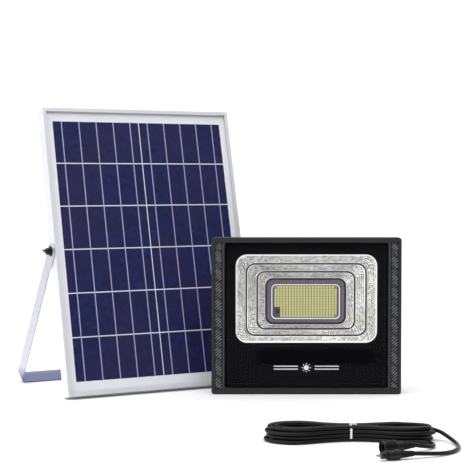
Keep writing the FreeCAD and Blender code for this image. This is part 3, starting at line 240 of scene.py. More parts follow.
def grained(name, light, dark, roughness, grain_mm, bump_mm, metallic=0.0, coat=0.0, gloss=0.5):
    """A moulded or powder-coated skin: a fine grain that varies in shade and height."""
    made, tree, shader = material(name)
    where = add(tree, "ShaderNodeTexCoord")
    grain = add(tree, "ShaderNodeTexNoise", {"Vector": where.outputs["Object"]}, Scale=1000.0 / grain_mm,
                Detail=3.0)
    colour = add(tree, "ShaderNodeMixRGB", {"Fac": grain.outputs["Fac"]}, Color1=tint(dark),
                 Color2=tint(light))
    rough = add(tree, "ShaderNodeMapRange", {"Value": grain.outputs["Fac"]}, To_Min=roughness - 0.06,
                To_Max=roughness + 0.06)
    bump = add(tree, "ShaderNodeBump", {"Height": grain.outputs["Fac"]}, Distance=bump_mm * MM, Strength=1.0)
    tree.links.new(colour.outputs["Color"], shader.inputs["Base Color"])
    tree.links.new(rough.outputs["Result"], shader.inputs["Roughness"])
    tree.links.new(bump.outputs["Normal"], shader.inputs["Normal"])
    shader.inputs["Metallic"].default_value = metallic
    shader.inputs["Coat Weight"].default_value = coat
    shader.inputs["Specular IOR Level"].default_value = gloss
    return made


def diamond_pattern():
    """Powder coat on moulded diamonds: tips painted paler as a highlight, gaps darker as painted shade."""
    made, tree, shader = material("charcoal_diamond_grip")
    tips = add(tree, "ShaderNodeAttribute", attribute_name="painted_light")
    tip_light_mix = add(tree, "ShaderNodeMapRange", {"Value": tips.outputs["Fac"]}, From_Min=0.35, From_Max=0.65)
    # painted highlight on the stud tips, painted shade between them
    colour = add(tree, "ShaderNodeMixRGB", {"Fac": tip_light_mix.outputs["Result"]}, Color1=tint("#060607"),
                 Color2=tint("#7a7d84"))
    tree.links.new(colour.outputs["Color"], shader.inputs["Base Color"])
    shader.inputs["Roughness"].default_value = 0.45
    shader.inputs["Specular IOR Level"].default_value = 0.3
    return made


def vacuum_metallised():
    """Plastic with a vapour-deposited aluminium layer: a soft mirror. Each prism's peak is painted pale
    silver as a highlight and the points between peaks random greys as painted shade; the layer is faintly
    lavender, going green and beige in patches.
    """
    made, tree, shader = material("vacuum_metallised_plastic")
    where = add(tree, "ShaderNodeTexCoord")
    haze = add(tree, "ShaderNodeTexNoise", {"Vector": where.outputs["Object"]}, Scale=22.0, Detail=2.0)
    layer = add(tree, "ShaderNodeValToRGB", {"Fac": haze.outputs["Fac"]})
    layer.color_ramp.elements[0].position = 0.3
    layer.color_ramp.elements[0].color = tint("#ffffff")
    layer.color_ramp.elements[1].position = 0.7
    layer.color_ramp.elements[1].color = tint("#f6f7ea")
    prism_light = add(tree, "ShaderNodeAttribute", attribute_name="painted_light")
    # painted light: peaks take the pale layer colour as highlights, the rest grey as painted shade
    colour = add(tree, "ShaderNodeMixRGB", {"Fac": prism_light.outputs["Fac"], "Color2": layer.outputs["Color"]},
                 Color1=tint("#75727a"))
    rough = add(tree, "ShaderNodeMapRange", {"Value": haze.outputs["Fac"]}, To_Min=0.2, To_Max=0.3)
    tree.links.new(colour.outputs["Color"], shader.inputs["Base Color"])
    tree.links.new(rough.outputs["Result"], shader.inputs["Roughness"])
    shader.inputs["Metallic"].default_value = 0.75
    return made


ALUMINIUM = anodised_aluminium()
ZINC = zinc_plated_steel()
PANEL_PANE = clear_glass("tempered_panel_glass", 1.18)
LIGHT_PANE = clear_glass("tempered_window_glass", 1.14)
SILICON = polycrystalline_silicon()
RIBBON = tinned_copper()
BACK_FILM = grained("white_backsheet_film", "#eeeff5", "#e4e5ec", 0.5, 2.0, 0.01)
CHARCOAL = grained("charcoal_powder_coat", "#2b2b2e", "#202022", 0.5, 0.9, 0.03, gloss=0.3)
GRIP = diamond_pattern()
# painted highlight: the bead is painted paler than the bezel's charcoal
BEAD = grained("charcoal_bead_painted_highlight", "#3c3d41", "#323337", 0.4, 0.9, 0.02, gloss=0.4)
HOUSING = grained("charcoal_cast_housing", "#25272a", "#1b1c1f", 0.55, 1.2, 0.05, gloss=0.35)
INK = grained("black_ceramic_print", "#232329", "#1e1e23", 0.4, 3.0, 0.0, gloss=0.1)
BLACK_ABS = grained("black_moulded_abs", "#161517", "#0f0e10", 0.42, 0.8, 0.02, gloss=0.3)
BLACK_ZINC = grained("black_zinc_plating", "#33312f", "#1e1d1d", 0.35, 0.7, 0.01, metallic=0.8)
RUBBER = grained("black_moulded_rubber", "#141315", "#0d0c0e", 0.5, 0.6, 0.02, gloss=0.25)
CABLE_SKIN = grained("black_cable_rubber", "#100f11", "#0a090a", 0.3, 1.5, 0.02, gloss=0.22)
CHROME = vacuum_metallised()
# painted highlight: the reflector's outer edge and the lip before each groove are painted plain white
BRIGHT_RIM = grained("painted_highlight_rim", "#ffffff", "#f2f2f4", 0.3, 2.0, 0.0)
# painted shade: the reflector's grooves are painted near black
GROOVE = grained("painted_groove_shade", "#1c1a1b", "#121112", 0.5, 2.0, 0.0)
WELL = grained("violet_grey_well", "#6e6878", "#565062", 0.35, 2.0, 0.0, gloss=0.4)
SOLDER_MASK = grained("violet_grey_board", "#625c6c", "#4a4556", 0.4, 1.0, 0.0, gloss=0.3)
RIM_WHITE = grained("white_silicone_dam", "#f6f6f4", "#e6e6e6", 0.45, 1.0, 0.0)
PHOSPHOR = grained("yellow_phosphor_resin", "#dbdb99", "#cdcd88", 0.35, 0.6, 0.0)
PACKAGE = grained("white_led_package", "#d2d2a4", "#c2c292", 0.5, 0.6, 0.0)
RESIN = grained("olive_tinted_resin", "#9a9868", "#86845a", 0.4, 1.5, 0.0)
DARK_LENS = grained("dark_infrared_resin", "#1a1016", "#0e090c", 0.12, 2.0, 0.0, coat=0.5)
WRAP = grained("blue_shrink_wrap", "#2b64b0", "#1f5198", 0.3, 3.0, 0.0)
GREEN_MASK = grained("green_solder_mask", "#1c6b34", "#155527", 0.35, 1.5, 0.01)
TIE_WHITE = grained("white_coated_wire", "#f4f4f4", "#dfdfe2", 0.4, 0.8, 0.01)
TIN = grained("tin_plated_brass", "#9c9a96", "#85837f", 0.35, 0.8, 0.0, metallic=0.9)
SILVER_PRINT = grained("silver_print", "#f2f2f4", "#e2e2e6", 0.45, 1.0, 0.0)

FINISH = {
    "panel_bottom_rail": ALUMINIUM, "panel_right_rail": ALUMINIUM, "panel_top_rail": ALUMINIUM,
    "panel_left_rail": ALUMINIUM, "panel_corner_keys": ZINC, "panel_glass": PANEL_PANE,
    "solar_cells": SILICON, "panel_backsheet": BACK_FILM,
    "junction_box": BLACK_ABS, "junction_box_lid": BLACK_ABS, "junction_box_screws": ZINC,
    "junction_terminals": TIN, "bypass_diode": BLACK_ABS, "junction_gland": BLACK_ABS,
    "junction_gland_nut": BLACK_ABS, "stand_bolts": BLACK_ZINC, "stand_washers": BLACK_ZINC,
    "panel_stand": ZINC, "left_wing_nut": BLACK_ZINC, "right_wing_nut": BLACK_ZINC,
    "front_frame": CHARCOAL, "rear_housing": HOUSING, "light_bracket": HOUSING,
    "front_glass": LIGHT_PANE, "glass_gasket": RUBBER, "glass_print": INK, "led_board": SOLDER_MASK,
    "led_rim": RIM_WHITE, "remote_receiver": DARK_LENS, "housing_seal": RUBBER,
    "housing_screws": BLACK_ZINC, "battery_cells": WRAP, "battery_holder": BLACK_ABS,
    "control_board": GREEN_MASK, "board_components": BLACK_ABS, "light_gland": BLACK_ABS,
    "light_gland_nut": BLACK_ABS, "button_ring": BLACK_ABS, "power_button": RUBBER,
    "bracket_bolts": BLACK_ZINC, "bracket_nuts": BLACK_ZINC, "bracket_washers": BLACK_ZINC,
    "socket_boot": RUBBER, "socket_body": BLACK_ABS, "socket_contacts": TIN,
    "coupling_nut": BLACK_ABS, "plug_boot": RUBBER, "plug_body": BLACK_ABS, "plug_seal": RUBBER,
    "plug_pins": TIN,
}
for node, finish in FINISH.items():
    paint(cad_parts[node], finish)


# ---- solar panel ---------------------------------------------------------------------------------

RIBBON_SINK = 0.04          # mm


def tinned_ribbons():
    """The ribbons as they are, sunk a hair into the cells: their faces would share a plane with the glass,
    and show or hide by chance. The direction in which all ten together are thinnest is the panel's normal.
    """
    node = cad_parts["cell_ribbons"]
    points = np.array([node.matrix_world @ v.co for v in node.data.vertices])
    faces = [tuple(face.vertices) for face in node.data.polygons]
    inward = np.linalg.svd(points - points.mean(axis=0), full_matrices=False)[2][2]
    inward *= np.sign(inward[1])
    obj = shape("tinned_ribbons", (points + inward * RIBBON_SINK * MM).tolist(), faces)
    paint(obj, RIBBON)
    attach(obj, "solar_panel")
    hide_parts("cell_ribbons")


tinned_ribbons()


# ---- extension cable -----------------------------------------------------------------------------

# lengths in mm, tails from the middle of the hank's foot
CORD_D = 5.5
HANK_LAYERS = 4             # two turns in each
HANK_HALF_L = 118.0
HANK_LOOP_H = (37.0, 30.0)  # half height of the left and the right loop
HANK_INNER_IN = 14.0        # how far an inner turn's tip lies inside an outer turn's
HANK_INNER_H = 13.0         # and how much lower its loop is
WAIST_IN_CORDS = (1.5, 0.5)     # half height of an outer and an inner turn under the tie, in cord diameters
WAIST_END = 0.15            # share of the way to the tip where the loop starts to open
LOOP_START = 0.65           # and where it is fully open
TIP_POWER = 5               # the higher, the squarer the loop's end
HANK_ENDS = (40, 36)        # degrees left out before the first turn and after the last
TURN_CHANGE = 0.2           # share of a turn over which the cord moves to the next one
POINTS_PER_TURN = 20
SOCKET_TAIL = ((96.0, -20.0, 2.75), (105.0, -33.0, 2.75), (108.0, -48.0, 2.75),
               (102.5, -62.0, 3.5), (90.5, -71.5, 6.0), (77.0, -77.0, 8.8))
PLUG_TAIL = ((103.0, 9.0, 17.5), (119.0, 2.0, 14.5), (131.0, -14.0, 8.0), (139.0, -35.0, 3.5),
             (139.5, -59.0, 2.75), (131.5, -83.0, 2.75), (115.0, -102.0, 3.0), (93.0, -113.5, 4.8),
             (70.0, -121.0, 6.7))
LOOP_LOOSE = (0.0, 3.5, 1.5, 5.0)   # how much smaller each layer's outer turn lies
INNER_LOOSE = (2.0, 0.0, 4.5, 1.0)  # how much larger each layer's inner turn lies


def hank_turns():
    """Control points of the hank's turns, from the lower right, clockwise, in layers from the floor up.

    x = tip cos(angle), y = -(waist + (loop - waist) s) r sign(sin angle), where s rises smoothly from 0
    to 1 between WAIST_END and LOOP_START and r = sqrt(1 - |x / tip| ^ TIP_POWER) closes the end. In each
    layer one turn lies outside the other, and the cord changes turn and layer around the right tip.
    """
    layers = np.repeat(np.arange(HANK_LAYERS), 2)
    outer = np.array([(layer % 2 == 0) == (turn == 0) for layer in range(HANK_LAYERS) for turn in (0, 1)])
    tips = np.where(outer, HANK_HALF_L - np.take(LOOP_LOOSE, layers),
                    HANK_HALF_L - HANK_INNER_IN + np.take(INNER_LOOSE, layers))
    lower = np.where(outer, np.take(LOOP_LOOSE, layers), HANK_INNER_H - np.take(INNER_LOOSE, layers))
    waist = np.where(outer, *WAIST_IN_CORDS) * CORD_D
    heights = (layers + 0.5) * CORD_D
    turns = 2 * HANK_LAYERS
    first, last = np.radians(HANK_ENDS)
    travelled = np.arange(first, 2 * np.pi * turns - last, 2 * np.pi / POINTS_PER_TURN)
    position = travelled / (2 * np.pi)
    nearest = np.round(position)
    change = ease((position - nearest) / TURN_CHANGE + 0.5)
    before = np.clip(nearest - 1, 0, turns - 1).astype(int)
    after = np.clip(nearest, 0, turns - 1).astype(int)

    def along(values):
        return values[before] * (1 - change) + values[after] * change

    tip = along(tips)
    x = tip * np.cos(travelled)
    reach = np.abs(x) / tip
    opened = ease((reach - WAIST_END) / (LOOP_START - WAIST_END))
    loop = np.where(x > 0, HANK_LOOP_H[1], HANK_LOOP_H[0]) - along(lower)
    tied = along(waist)
    half = (tied + (loop - tied) * opened) * np.sqrt(np.maximum(1 - reach ** TIP_POWER, 0))
    y = -np.copysign(half, np.sin(travelled))
    return np.stack([x, y, along(heights)], axis=1)


def extension_cord():
    """The whole cable as one smooth curve, from the socket through the hank to the plug. Gives the cord,
    its first point and its length.
    """
    centre = middle("cable_hank")
    origin = np.array([centre.x, centre.y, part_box("cable_hank")[0].z])
    route = np.concatenate([np.array(SOCKET_TAIL[:0:-1]), hank_turns(), np.array(PLUG_TAIL)[1:]])
    points = origin + route * MM
    curve = bpy.data.curves.new("extension_cord", "CURVE")
    curve.dimensions = "3D"
    curve.bevel_depth = CORD_D / 2 * MM
    curve.bevel_resolution = 5
    curve.resolution_u = 5
    curve.use_fill_caps = True
    spline = curve.splines.new("NURBS")
    spline.points.add(len(points) - 1)
    spline.points.foreach_set("co", np.column_stack([points, np.ones(len(points))]).ravel())
    spline.order_u = 3
    spline.use_endpoint_u = True
    cord = bpy.data.objects.new("extension_cord", curve)
    bpy.context.scene.collection.objects.link(cord)
    cord.data.materials.append(CABLE_SKIN)
    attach(cord, "extension_cable")
    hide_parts("cable_hank", "socket_tail", "plug_tail")
    return cord, points[0], np.linalg.norm(np.diff(points, axis=0), axis=1).sum()


cord, exit_point, cord_length = extension_cord()


# ---- flood light: LED board ----------------------------------------------------------------------

CHIP_COLUMNS = 22
CHIP_ROWS = 12
CHIP_SIZE = (3.2, 3.5, 0.7)     # width, height and thickness in mm
CHIP_SHOULDER = 0.8             # share of the thickness that is package; phosphor resin stands on it
RECEIVER_CORNER = (2, 4)        # columns and rows at the lower left left free for the receiver
RESIN_T = 0.3                   # mm


def led_chips():
    """Each chip is a white package with a raised block of phosphor resin: two stacked truncated boxes.
    Gives the centres of the outermost columns and rows, the two pitches and the board's front.
    """
    low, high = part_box("led_chips")
    chip_w, chip_h, chip_t = (size * MM for size in CHIP_SIZE)
    pitch_x = (high.x - low.x - chip_w) / (CHIP_COLUMNS - 1)
    pitch_z = (high.z - low.z - chip_h) / (CHIP_ROWS - 1)
    column, row = np.meshgrid(np.arange(CHIP_COLUMNS), np.arange(CHIP_ROWS), indexing="ij")
    x = low.x + chip_w / 2 + column * pitch_x
    z = low.z + chip_h / 2 + row * pitch_z
    clear = (column >= RECEIVER_CORNER[0]) | (row >= RECEIVER_CORNER[1])
    edge_x = np.minimum(column, CHIP_COLUMNS - 1 - column)
    edge_z = np.minimum(row, CHIP_ROWS - 1 - row)
    clear &= (edge_x + edge_z) > 0              # no chip in the four corners
    centres = np.stack([x[clear], np.full(clear.sum(), high.y), z[clear]], axis=1)

    def ring(width, height, depth):
        w, h = width / 2, height / 2
        return [(-w, -depth, -h), (w, -depth, -h), (w, -depth, h), (-w, -depth, h)]

    shoulder = chip_t * CHIP_SHOULDER
    points = (ring(chip_w, chip_h, 0) + ring(chip_w, chip_h, shoulder)
              + ring(chip_w * 0.84, chip_h * 0.9, shoulder) + ring(chip_w * 0.7, chip_h * 0.8, chip_t))
    faces = [(a + k, a + (k + 1) % 4, a + 4 + (k + 1) % 4, a + 4 + k) for a in (0, 4, 8) for k in range(4)]
    faces += [(12, 13, 14, 15), (3, 2, 1, 0)]
    numbers = [0] * 8 + [1] * 4 + [1, 0]        # package walls and ledge, resin walls, resin face, foot
    obj = copies("led_chip_array", points, faces, centres, numbers)
    paint(obj, PACKAGE, PHOSPHOR)
    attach(obj, "flood_light")
    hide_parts("led_chips")
    return x[0, 0], x[-1, 0], z[0, 0], z[0, -1], pitch_x, pitch_z, high.y


def resin_fill(left, right, bottom, top, pitch_x, pitch_z, back):
    """Phosphor-tinted resin that fills the rows between the chips: an L-shaped plate, which leaves out the
    receiver's corner.
    """
    x0, x1 = left - pitch_x * 0.45, right + pitch_x * 0.45
    z0, z1 = bottom - pitch_z * 0.5, top + pitch_z * 0.5
    step_x = left + (RECEIVER_CORNER[0] - 0.5) * pitch_x
    step_z = bottom + (RECEIVER_CORNER[1] - 0.5) * pitch_z
    outline = [(step_x, z0), (x1, z0), (x1, z1), (x0, z1), (x0, step_z), (step_x, step_z)]
    count = len(outline)
    points = [(x, y, z) for y in (back, back - RESIN_T * MM) for x, z in outline]
    faces = [list(range(count, 2 * count)), list(range(count - 1, -1, -1))]
    faces += [(k, (k + 1) % count, count + (k + 1) % count, count + k) for k in range(count)]
    obj = shape("resin_fill", points, faces)
    paint(obj, RESIN)
    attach(obj, "flood_light")


resin_fill(*led_chips())


# ---- flood light: reflector ----------------------------------------------------------------------

# width, height, corner radius and drop below the window's centre, in mm
TIERS = ((234.5, 147.0, 19.0, 0.0), (196.3, 116.4, 13.5, 2.2), (159.7, 92.7, 11.5, 4.2),
         (130.6, 72.6, 10.8, 6.4))
WELL_SIZE = (129.0, 71.0, 10.0, 6.4)
WELL_FOOT = (118.0, 61.5, 9.0, 7.2)
# painted highlight: the white edge and the lip before each groove are painted white; the grooves are painted
# shade
WINDOW_EDGE = (230.7, 143.2, 17.6, 0.0)     # where the white edge ends and the prisms start
EDGE_DEPTHS = (0.2, 0.9)    # the white edge slopes from the first to the second
FLANGE_W = 4.0              # behind the window's edge
FLANGE_BACK = 1.6
TIER_DEPTH = 6.2
TIER_LIP = 0.5              # bright edge before each groove
GROOVE_W = 2.8
GROOVE_DEPTH = 1.6
PRISM_ROWS = 10             # two rows to a prism, which is 2 to 3 mm by 3 to 4 mm
PRISM_HEIGHT = 0.9
PRISM_LEAN = 0.35           # how far a peak leans inward, as a share of its height
# painted shade between the prism peaks; a peak is painted fully pale as a highlight
PLAIN_SHADE = 0.75          # points between the peaks are at most this pale; a peak is 1
LONG_STEPS = 100
SHORT_STEPS = 56
CORNER_STEPS = 10


def around(width, height, radius, drop):
    """Points of a round-cornered rectangle, anticlockwise from the lower left, and their outward normals.
    Each side runs straight to its corner's start, then a quarter turn follows.
    """
    w, h = width / 2 - radius, height / 2 - radius
    sides = []
    normals = []
    corners = (((w, -h), -90), ((w, h), 0), ((-w, h), 90), ((-w, -h), 180))
    at = np.array([-w, -h])
    for (corner, start), steps in zip(corners, (LONG_STEPS, SHORT_STEPS, LONG_STEPS, SHORT_STEPS)):
        turn = np.radians(start)
        normal = np.array([np.cos(turn), np.sin(turn)])
        share = np.arange(steps)[:, None] / steps
        sides.append(at + (np.array(corner) - at) * share + radius * normal)
        normals.append(np.repeat(normal[None, :], steps, axis=0))
        angles = np.radians(start + 90 * np.arange(CORNER_STEPS) / CORNER_STEPS)
        arc = np.stack([np.cos(angles), np.sin(angles)], axis=1)
        sides.append(np.array(corner) + radius * arc)
        normals.append(arc)
        at = np.array(corner)
    points = np.concatenate(sides)
    points[:, 1] -= drop
    return points, np.concatenate(normals)


def widened(size, margin):
    """A round-cornered rectangle moved out by a margin on every side."""
    return (size[0] + 2 * margin, size[1] + 2 * margin, size[2] + margin, size[3])


def reflector():
    """A ring surface: round-cornered rectangles at successive depths, from the flange in to the well and
    back behind it. On each sloping tier the middle of every two-by-two block of faces stands
    PRISM_HEIGHT proud, so the tier is covered in four-sided prisms, each row shifted against the last.
    """
    low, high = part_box("reflector")
    window = middle("reflector")
    depth = (high.y - low.y) / MM
    edge, chrome, groove, well = range(4)
    flange = widened(TIERS[0], FLANGE_W)
    sections = [(flange, 0.0, edge), (TIERS[0], EDGE_DEPTHS[0], edge), (WINDOW_EDGE, EDGE_DEPTHS[1], edge)]
    y = EDGE_DEPTHS[1]
    near = WINDOW_EDGE
    for tier in range(3):
        far = widened(TIERS[tier + 1], GROOVE_W + TIER_LIP)
        foot = EDGE_DEPTHS[0] + (tier + 1) * TIER_DEPTH + tier * GROOVE_DEPTH
        for row in range(1, PRISM_ROWS + 1):
            share = row / PRISM_ROWS
            size = tuple(a + (b - a) * share for a, b in zip(near, far))
            sections.append((size, y + (foot - y) * share, chrome))
        sections.append((widened(TIERS[tier + 1], GROOVE_W), foot, edge))
        sections.append((widened(TIERS[tier + 1], GROOVE_W), foot + GROOVE_DEPTH, groove))
        sections.append((TIERS[tier + 1], foot + GROOVE_DEPTH, groove))
        y = foot + GROOVE_DEPTH
        near = TIERS[tier + 1]
    sections[-1] = (WELL_SIZE, y, groove)
    sections += [(WELL_FOOT, depth - 0.2, well), (WELL_FOOT, depth, well)]
    # the bowl's back, which the housing hides: it follows the tiers a few mm behind them
    sections += [(widened(WELL_SIZE, 3.0), depth, well), (widened(TIERS[1], 2.0), 13.0, well),
                 (widened(TIERS[0], 1.0), 3.0, well), (flange, FLANGE_BACK, well)]
    rings = []
    painted_light = []
    dice = np.random.default_rng(7)
    for number, (size, back, kind) in enumerate(sections):
        points, normal = around(*size)
        inner_row = kind == chrome and sections[number + 1][2] == chrome
        peak = (number % 2 == 0) & ((np.arange(len(points)) + number // 2) % 2 == 0) & inner_row
        lift = np.where(peak, PRISM_HEIGHT, 0.0)
        leaning = points - normal * (lift * PRISM_LEAN)[:, None]
        rings.append(np.column_stack([leaning[:, 0], back - lift, leaning[:, 1]]))
        # painted light: peaks painted fullest as highlights, the points between random darker greys as
        # painted shade
        valley_shade = PLAIN_SHADE * dice.random(len(points)) if kind == chrome else 1.0
        painted_light.append(np.where(peak, 1.0, valley_shade))
    grid = np.array([window.x, low.y, window.z]) + np.array(rings) * MM
    slots = [kind for size, back, kind in sections[1:]] + [edge]
    obj = surface("prism_reflector", grid, wrap_rows=True, wrap_columns=True, smooth=False, slots=slots)
    obj.data.flip_normals()
    mark(obj, painted_light)
    paint(obj, BRIGHT_RIM, CHROME, GROOVE, WELL)
    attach(obj, "flood_light")
    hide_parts("reflector")


reflector()


# ---- flood light: bezel strips and printed sign --------------------------------------------------

# lengths in mm
STRIP_IN = 5.0              # plain border outside the studs
STRIP_FOOT = 9.0            # and below them
STRIP_HEAD = 8.0            # and above them
BEAD_W = 2.6                # smooth bead between the studs and the glass
BEAD_GAP = 0.6              # on each side of the bead
BEAD_H = (0.7, 0.3)         # in front of the bezel's face and behind it
BEAD_STEPS = (40, 16)       # along the bead and round it
STUD_PITCH = 2.5            # real studs are a little finer; this is as coarse as they need to show
STUD_H = 0.55
SLAB_H = 0.1                # the face between the studs
SLAB_SUNK = 0.3             # how deep the slab's back lies in the bezel


def side_border(side):
    """The border's outer and inner x, its lower and upper z and its front y, on one side of the glass."""
    frame_low, frame_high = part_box("front_frame")
    pane_low, pane_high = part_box("front_glass")
    outer, inner = (frame_high.x, pane_high.x) if side > 0 else (frame_low.x, pane_low.x)
    return outer, inner, frame_low.z + STRIP_FOOT * MM, frame_high.z - STRIP_HEAD * MM, frame_low.y


def grip_strip(side):
    """A strip of diamond studs on the bezel's side border: a thin slab whose face rises at every other
    grid point. Each tip is painted pale as a highlight; how pale follows the product of two waves along
    the strip.
    """
    outer, inner, z0, z1, front = side_border(side)
    x0, x1 = sorted((outer - side * STRIP_IN * MM, inner + side * (BEAD_W + 2 * BEAD_GAP) * MM))
    columns = round((x1 - x0) / (STUD_PITCH * MM)) + 1
    rows = round((z1 - z0) / (STUD_PITCH * MM)) + 1
    x, z = np.meshgrid(np.linspace(x0, x1, columns), np.linspace(z0, z1, rows), indexing="ij")
    i, j = np.meshgrid(np.arange(columns), np.arange(rows), indexing="ij")
    inside = (i > 0) & (i < columns - 1) & (j > 0) & (j < rows - 1)
    tips = inside & ((i + j) % 2 == 1)
    # painted highlight: how pale each stud tip is painted
    tip_highlight = 0.72 + 0.28 * np.sin(z / (5.1 * MM) + side) * np.sin(z / (2.3 * MM) + x / (4.0 * MM))
    y = front - np.where(tips, STUD_H, SLAB_H) * MM
    face = np.stack([x, y, z], axis=-1).reshape(-1, 3)
    index = np.arange(columns * rows).reshape(columns, rows)
    quads = np.stack([index[:-1, :-1], index[1:, :-1], index[1:, 1:], index[:-1, 1:]], axis=-1)
    loop = np.concatenate([index[:, 0], index[-1, 1:], index[-2::-1, -1], index[0, -2:0:-1]])
    rim = face[loop]
    rim[:, 1] = front + SLAB_SUNK * MM
    rim_index = columns * rows + np.arange(len(loop))
    walls = np.stack([loop, rim_index, np.roll(rim_index, -1), np.roll(loop, -1)], axis=-1)
    name = "right_grip_strip" if side > 0 else "left_grip_strip"
    obj = shape(name, np.concatenate([face, rim]).tolist(),
                quads.reshape(-1, 4).tolist() + walls.tolist() + [rim_index.tolist()])
    mark(obj, np.concatenate([np.where(tips, tip_highlight, 0.0).ravel(), np.zeros(len(rim))]))
    paint(obj, GRIP)
    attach(obj, "flood_light")


def bezel_bead(side):
    """A smooth bead beside the glass: a flattened circle, carried straight up and tapered to a point at
    both ends.
    """
    inner, z0, z1, front = side_border(side)[1:]
    centre = inner + side * (BEAD_W / 2 + BEAD_GAP) * MM
    along = np.linspace(0, 1, BEAD_STEPS[0])
    z = z0 + (z1 - z0) * along
    taper = np.sqrt(np.clip(np.minimum(along, 1 - along) * 60, 0, 1))   # over a sixtieth of the length
    angle = np.linspace(0, 2 * np.pi, BEAD_STEPS[1], endpoint=False)
    out = np.where(np.sin(angle) > 0, *BEAD_H) * np.sin(angle)
    grid = np.stack([centre + BEAD_W / 2 * MM * taper[:, None] * np.cos(angle)[None, :],
                     front - MM * taper[:, None] * out[None, :],
                     np.broadcast_to(z[:, None], BEAD_STEPS)], axis=-1)
    name = "right_bezel_bead" if side > 0 else "left_bezel_bead"
    obj = surface(name, grid, wrap_columns=True)
    paint(obj, BEAD)
    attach(obj, "flood_light")


for side in (-1, 1):
    grip_strip(side)
    bezel_bead(side)


# lengths in mm
SIGN_UP = 44.0              # the sign's centre above the floor
DISC_R = 4.2
RAYS = 8
RAY_FOOT = 5.6              # distances from the centre
RAY_TIP = 8.6
RAY_HALF_W = 0.9
BAR_ENDS = (14.0, 54.0)     # distances from the centre
BAR_UP = 2.4                # one bar of each pair lies this far above the centre, the other below
BAR_HALF_H = 0.8
PRINT_T = 0.05
PRINT_GAP = 0.02            # in front of the black print


def sun_sign():
    """A generic sun between two pairs of bars, printed behind the glass under the window.

    The sun is a disc with wedge rays. Each mark is a flat plate of print.
    """
    centre_x = middle("glass_print").x
    centre_z = SIGN_UP * MM
    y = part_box("glass_print")[0].y - PRINT_GAP * MM
    turn = np.linspace(0, 2 * np.pi, 40, endpoint=False)
    outlines = [np.stack([np.cos(turn), np.sin(turn)], axis=1) * DISC_R]
    for angle in np.arange(RAYS) * 2 * np.pi / RAYS:
        along = np.array([np.cos(angle), np.sin(angle)])
        across = np.array([-along[1], along[0]]) * RAY_HALF_W
        outlines.append(np.array([along * RAY_FOOT + across, along * RAY_FOOT - across, along * RAY_TIP]))
    for sign in (-1, 1):
        for up in (BAR_UP, -BAR_UP):
            x0, x1 = sorted(sign * end for end in BAR_ENDS)
            z0, z1 = up - BAR_HALF_H, up + BAR_HALF_H
            outlines.append(np.array([(x0, z0), (x1, z0), (x1, z1), (x0, z1)]))
    points = []
    faces = []
    for outline in outlines:
        ahead = np.roll(outline, -1, axis=0)
        if np.sum(outline[:, 0] * ahead[:, 1] - ahead[:, 0] * outline[:, 1]) < 0:   # clockwise
            outline = outline[::-1]
        start = len(points)
        n = len(outline)
        for depth in (0.0, PRINT_T):
            points += [(centre_x + px * MM, y - depth * MM, centre_z + pz * MM) for px, pz in outline]
        faces.append(list(range(start + n, start + 2 * n)))
        faces.append(list(range(start + n - 1, start - 1, -1)))
        for k in range(n):
            after = (k + 1) % n
            faces.append((start + k, start + after, start + n + after, start + n + k))
    obj = shape("sun_sign", points, faces)
    paint(obj, SILVER_PRINT)
    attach(obj, "flood_light")


sun_sign()


# ---- cable tie -----------------------------------------------------------------------------------

# lengths in mm
TIE_UP = 22.2               # the loop's top above the hank's foot
TIE_HALF_W = 1.6            # of the flat strip
TIE_HALF_T = 0.4
TIE_CORNER = 0.45           # the power that squares the loop: 1 would leave it an ellipse
WIRE_R = 0.75               # of each twisted end
TWIST_R = 0.9
TWIST_TURNS = 3
TWIST_RUN = (9.0, -6.0)     # how far the ends reach in x and y
TWIST_FROM = (-1.0, -3.0, 1.2)  # where they start, from the top of the loop


def twist_tie():
    """A flat coated wire around the hank's waist: a round-cornered loop with a domed strip section, and
    two twisted ends on top.
    """
    low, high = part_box("hank_tie")
    centre = middle("hank_tie")
    half_t = TIE_HALF_T * MM
    top = low.z + TIE_UP * MM
    turn = np.linspace(0, 2 * np.pi, 72, endpoint=False)
    ny, nz = np.cos(turn), np.sin(turn)
    y = centre.y + ((high.y - low.y) / 2 - half_t) * np.sign(ny) * np.abs(ny) ** TIE_CORNER
    z = (low.z + top) / 2 + ((top - low.z) / 2 - half_t) * np.sign(nz) * np.abs(nz) ** TIE_CORNER
    section = np.linspace(0, 2 * np.pi, 12, endpoint=False)
    across = TIE_HALF_W * MM * np.cos(section)
    out = half_t * np.sin(section)
    grid = np.stack([centre.x + across[None, :] + 0 * y[:, None],
                     y[:, None] + out[None, :] * ny[:, None],
                     z[:, None] + out[None, :] * nz[:, None]], axis=-1)
    obj = surface("twist_tie", grid, wrap_rows=True, wrap_columns=True)
    paint(obj, TIE_WHITE)
    share = np.linspace(0, 1, 60)[:, None]
    start = np.array([centre.x, centre.y, top]) + np.array(TWIST_FROM) * MM
    ring = np.linspace(0, 2 * np.pi, 8, endpoint=False)
    for number, phase in enumerate((0, np.pi)):
        wind = share[:, 0] * TWIST_TURNS * 2 * np.pi + phase
        normal = np.stack([0 * wind, np.cos(wind), np.sin(wind)], axis=1)
        side = np.stack([0 * wind, -np.sin(wind), np.cos(wind)], axis=1)
        path = start + (share * np.array([*TWIST_RUN, 0.0]) + TWIST_R * normal) * MM
        around_wire = (np.cos(ring)[None, :, None] * normal[:, None, :]
                       + np.sin(ring)[None, :, None] * side[:, None, :])
        tube = path[:, None, :] + WIRE_R * MM * around_wire
        ends = np.repeat(path[[0, -1]][:, None, :], len(ring), axis=1)
        tube = np.concatenate([ends[:1], tube, ends[1:]])
        piece = surface("tie_end_%d" % number, tube, wrap_columns=True)
        paint(piece, TIE_WHITE)
        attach(piece, "extension_cable")
    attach(obj, "extension_cable")
    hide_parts("hank_tie")


twist_tie()


# ---- floor, light and camera ---------------------------------------------------------------------

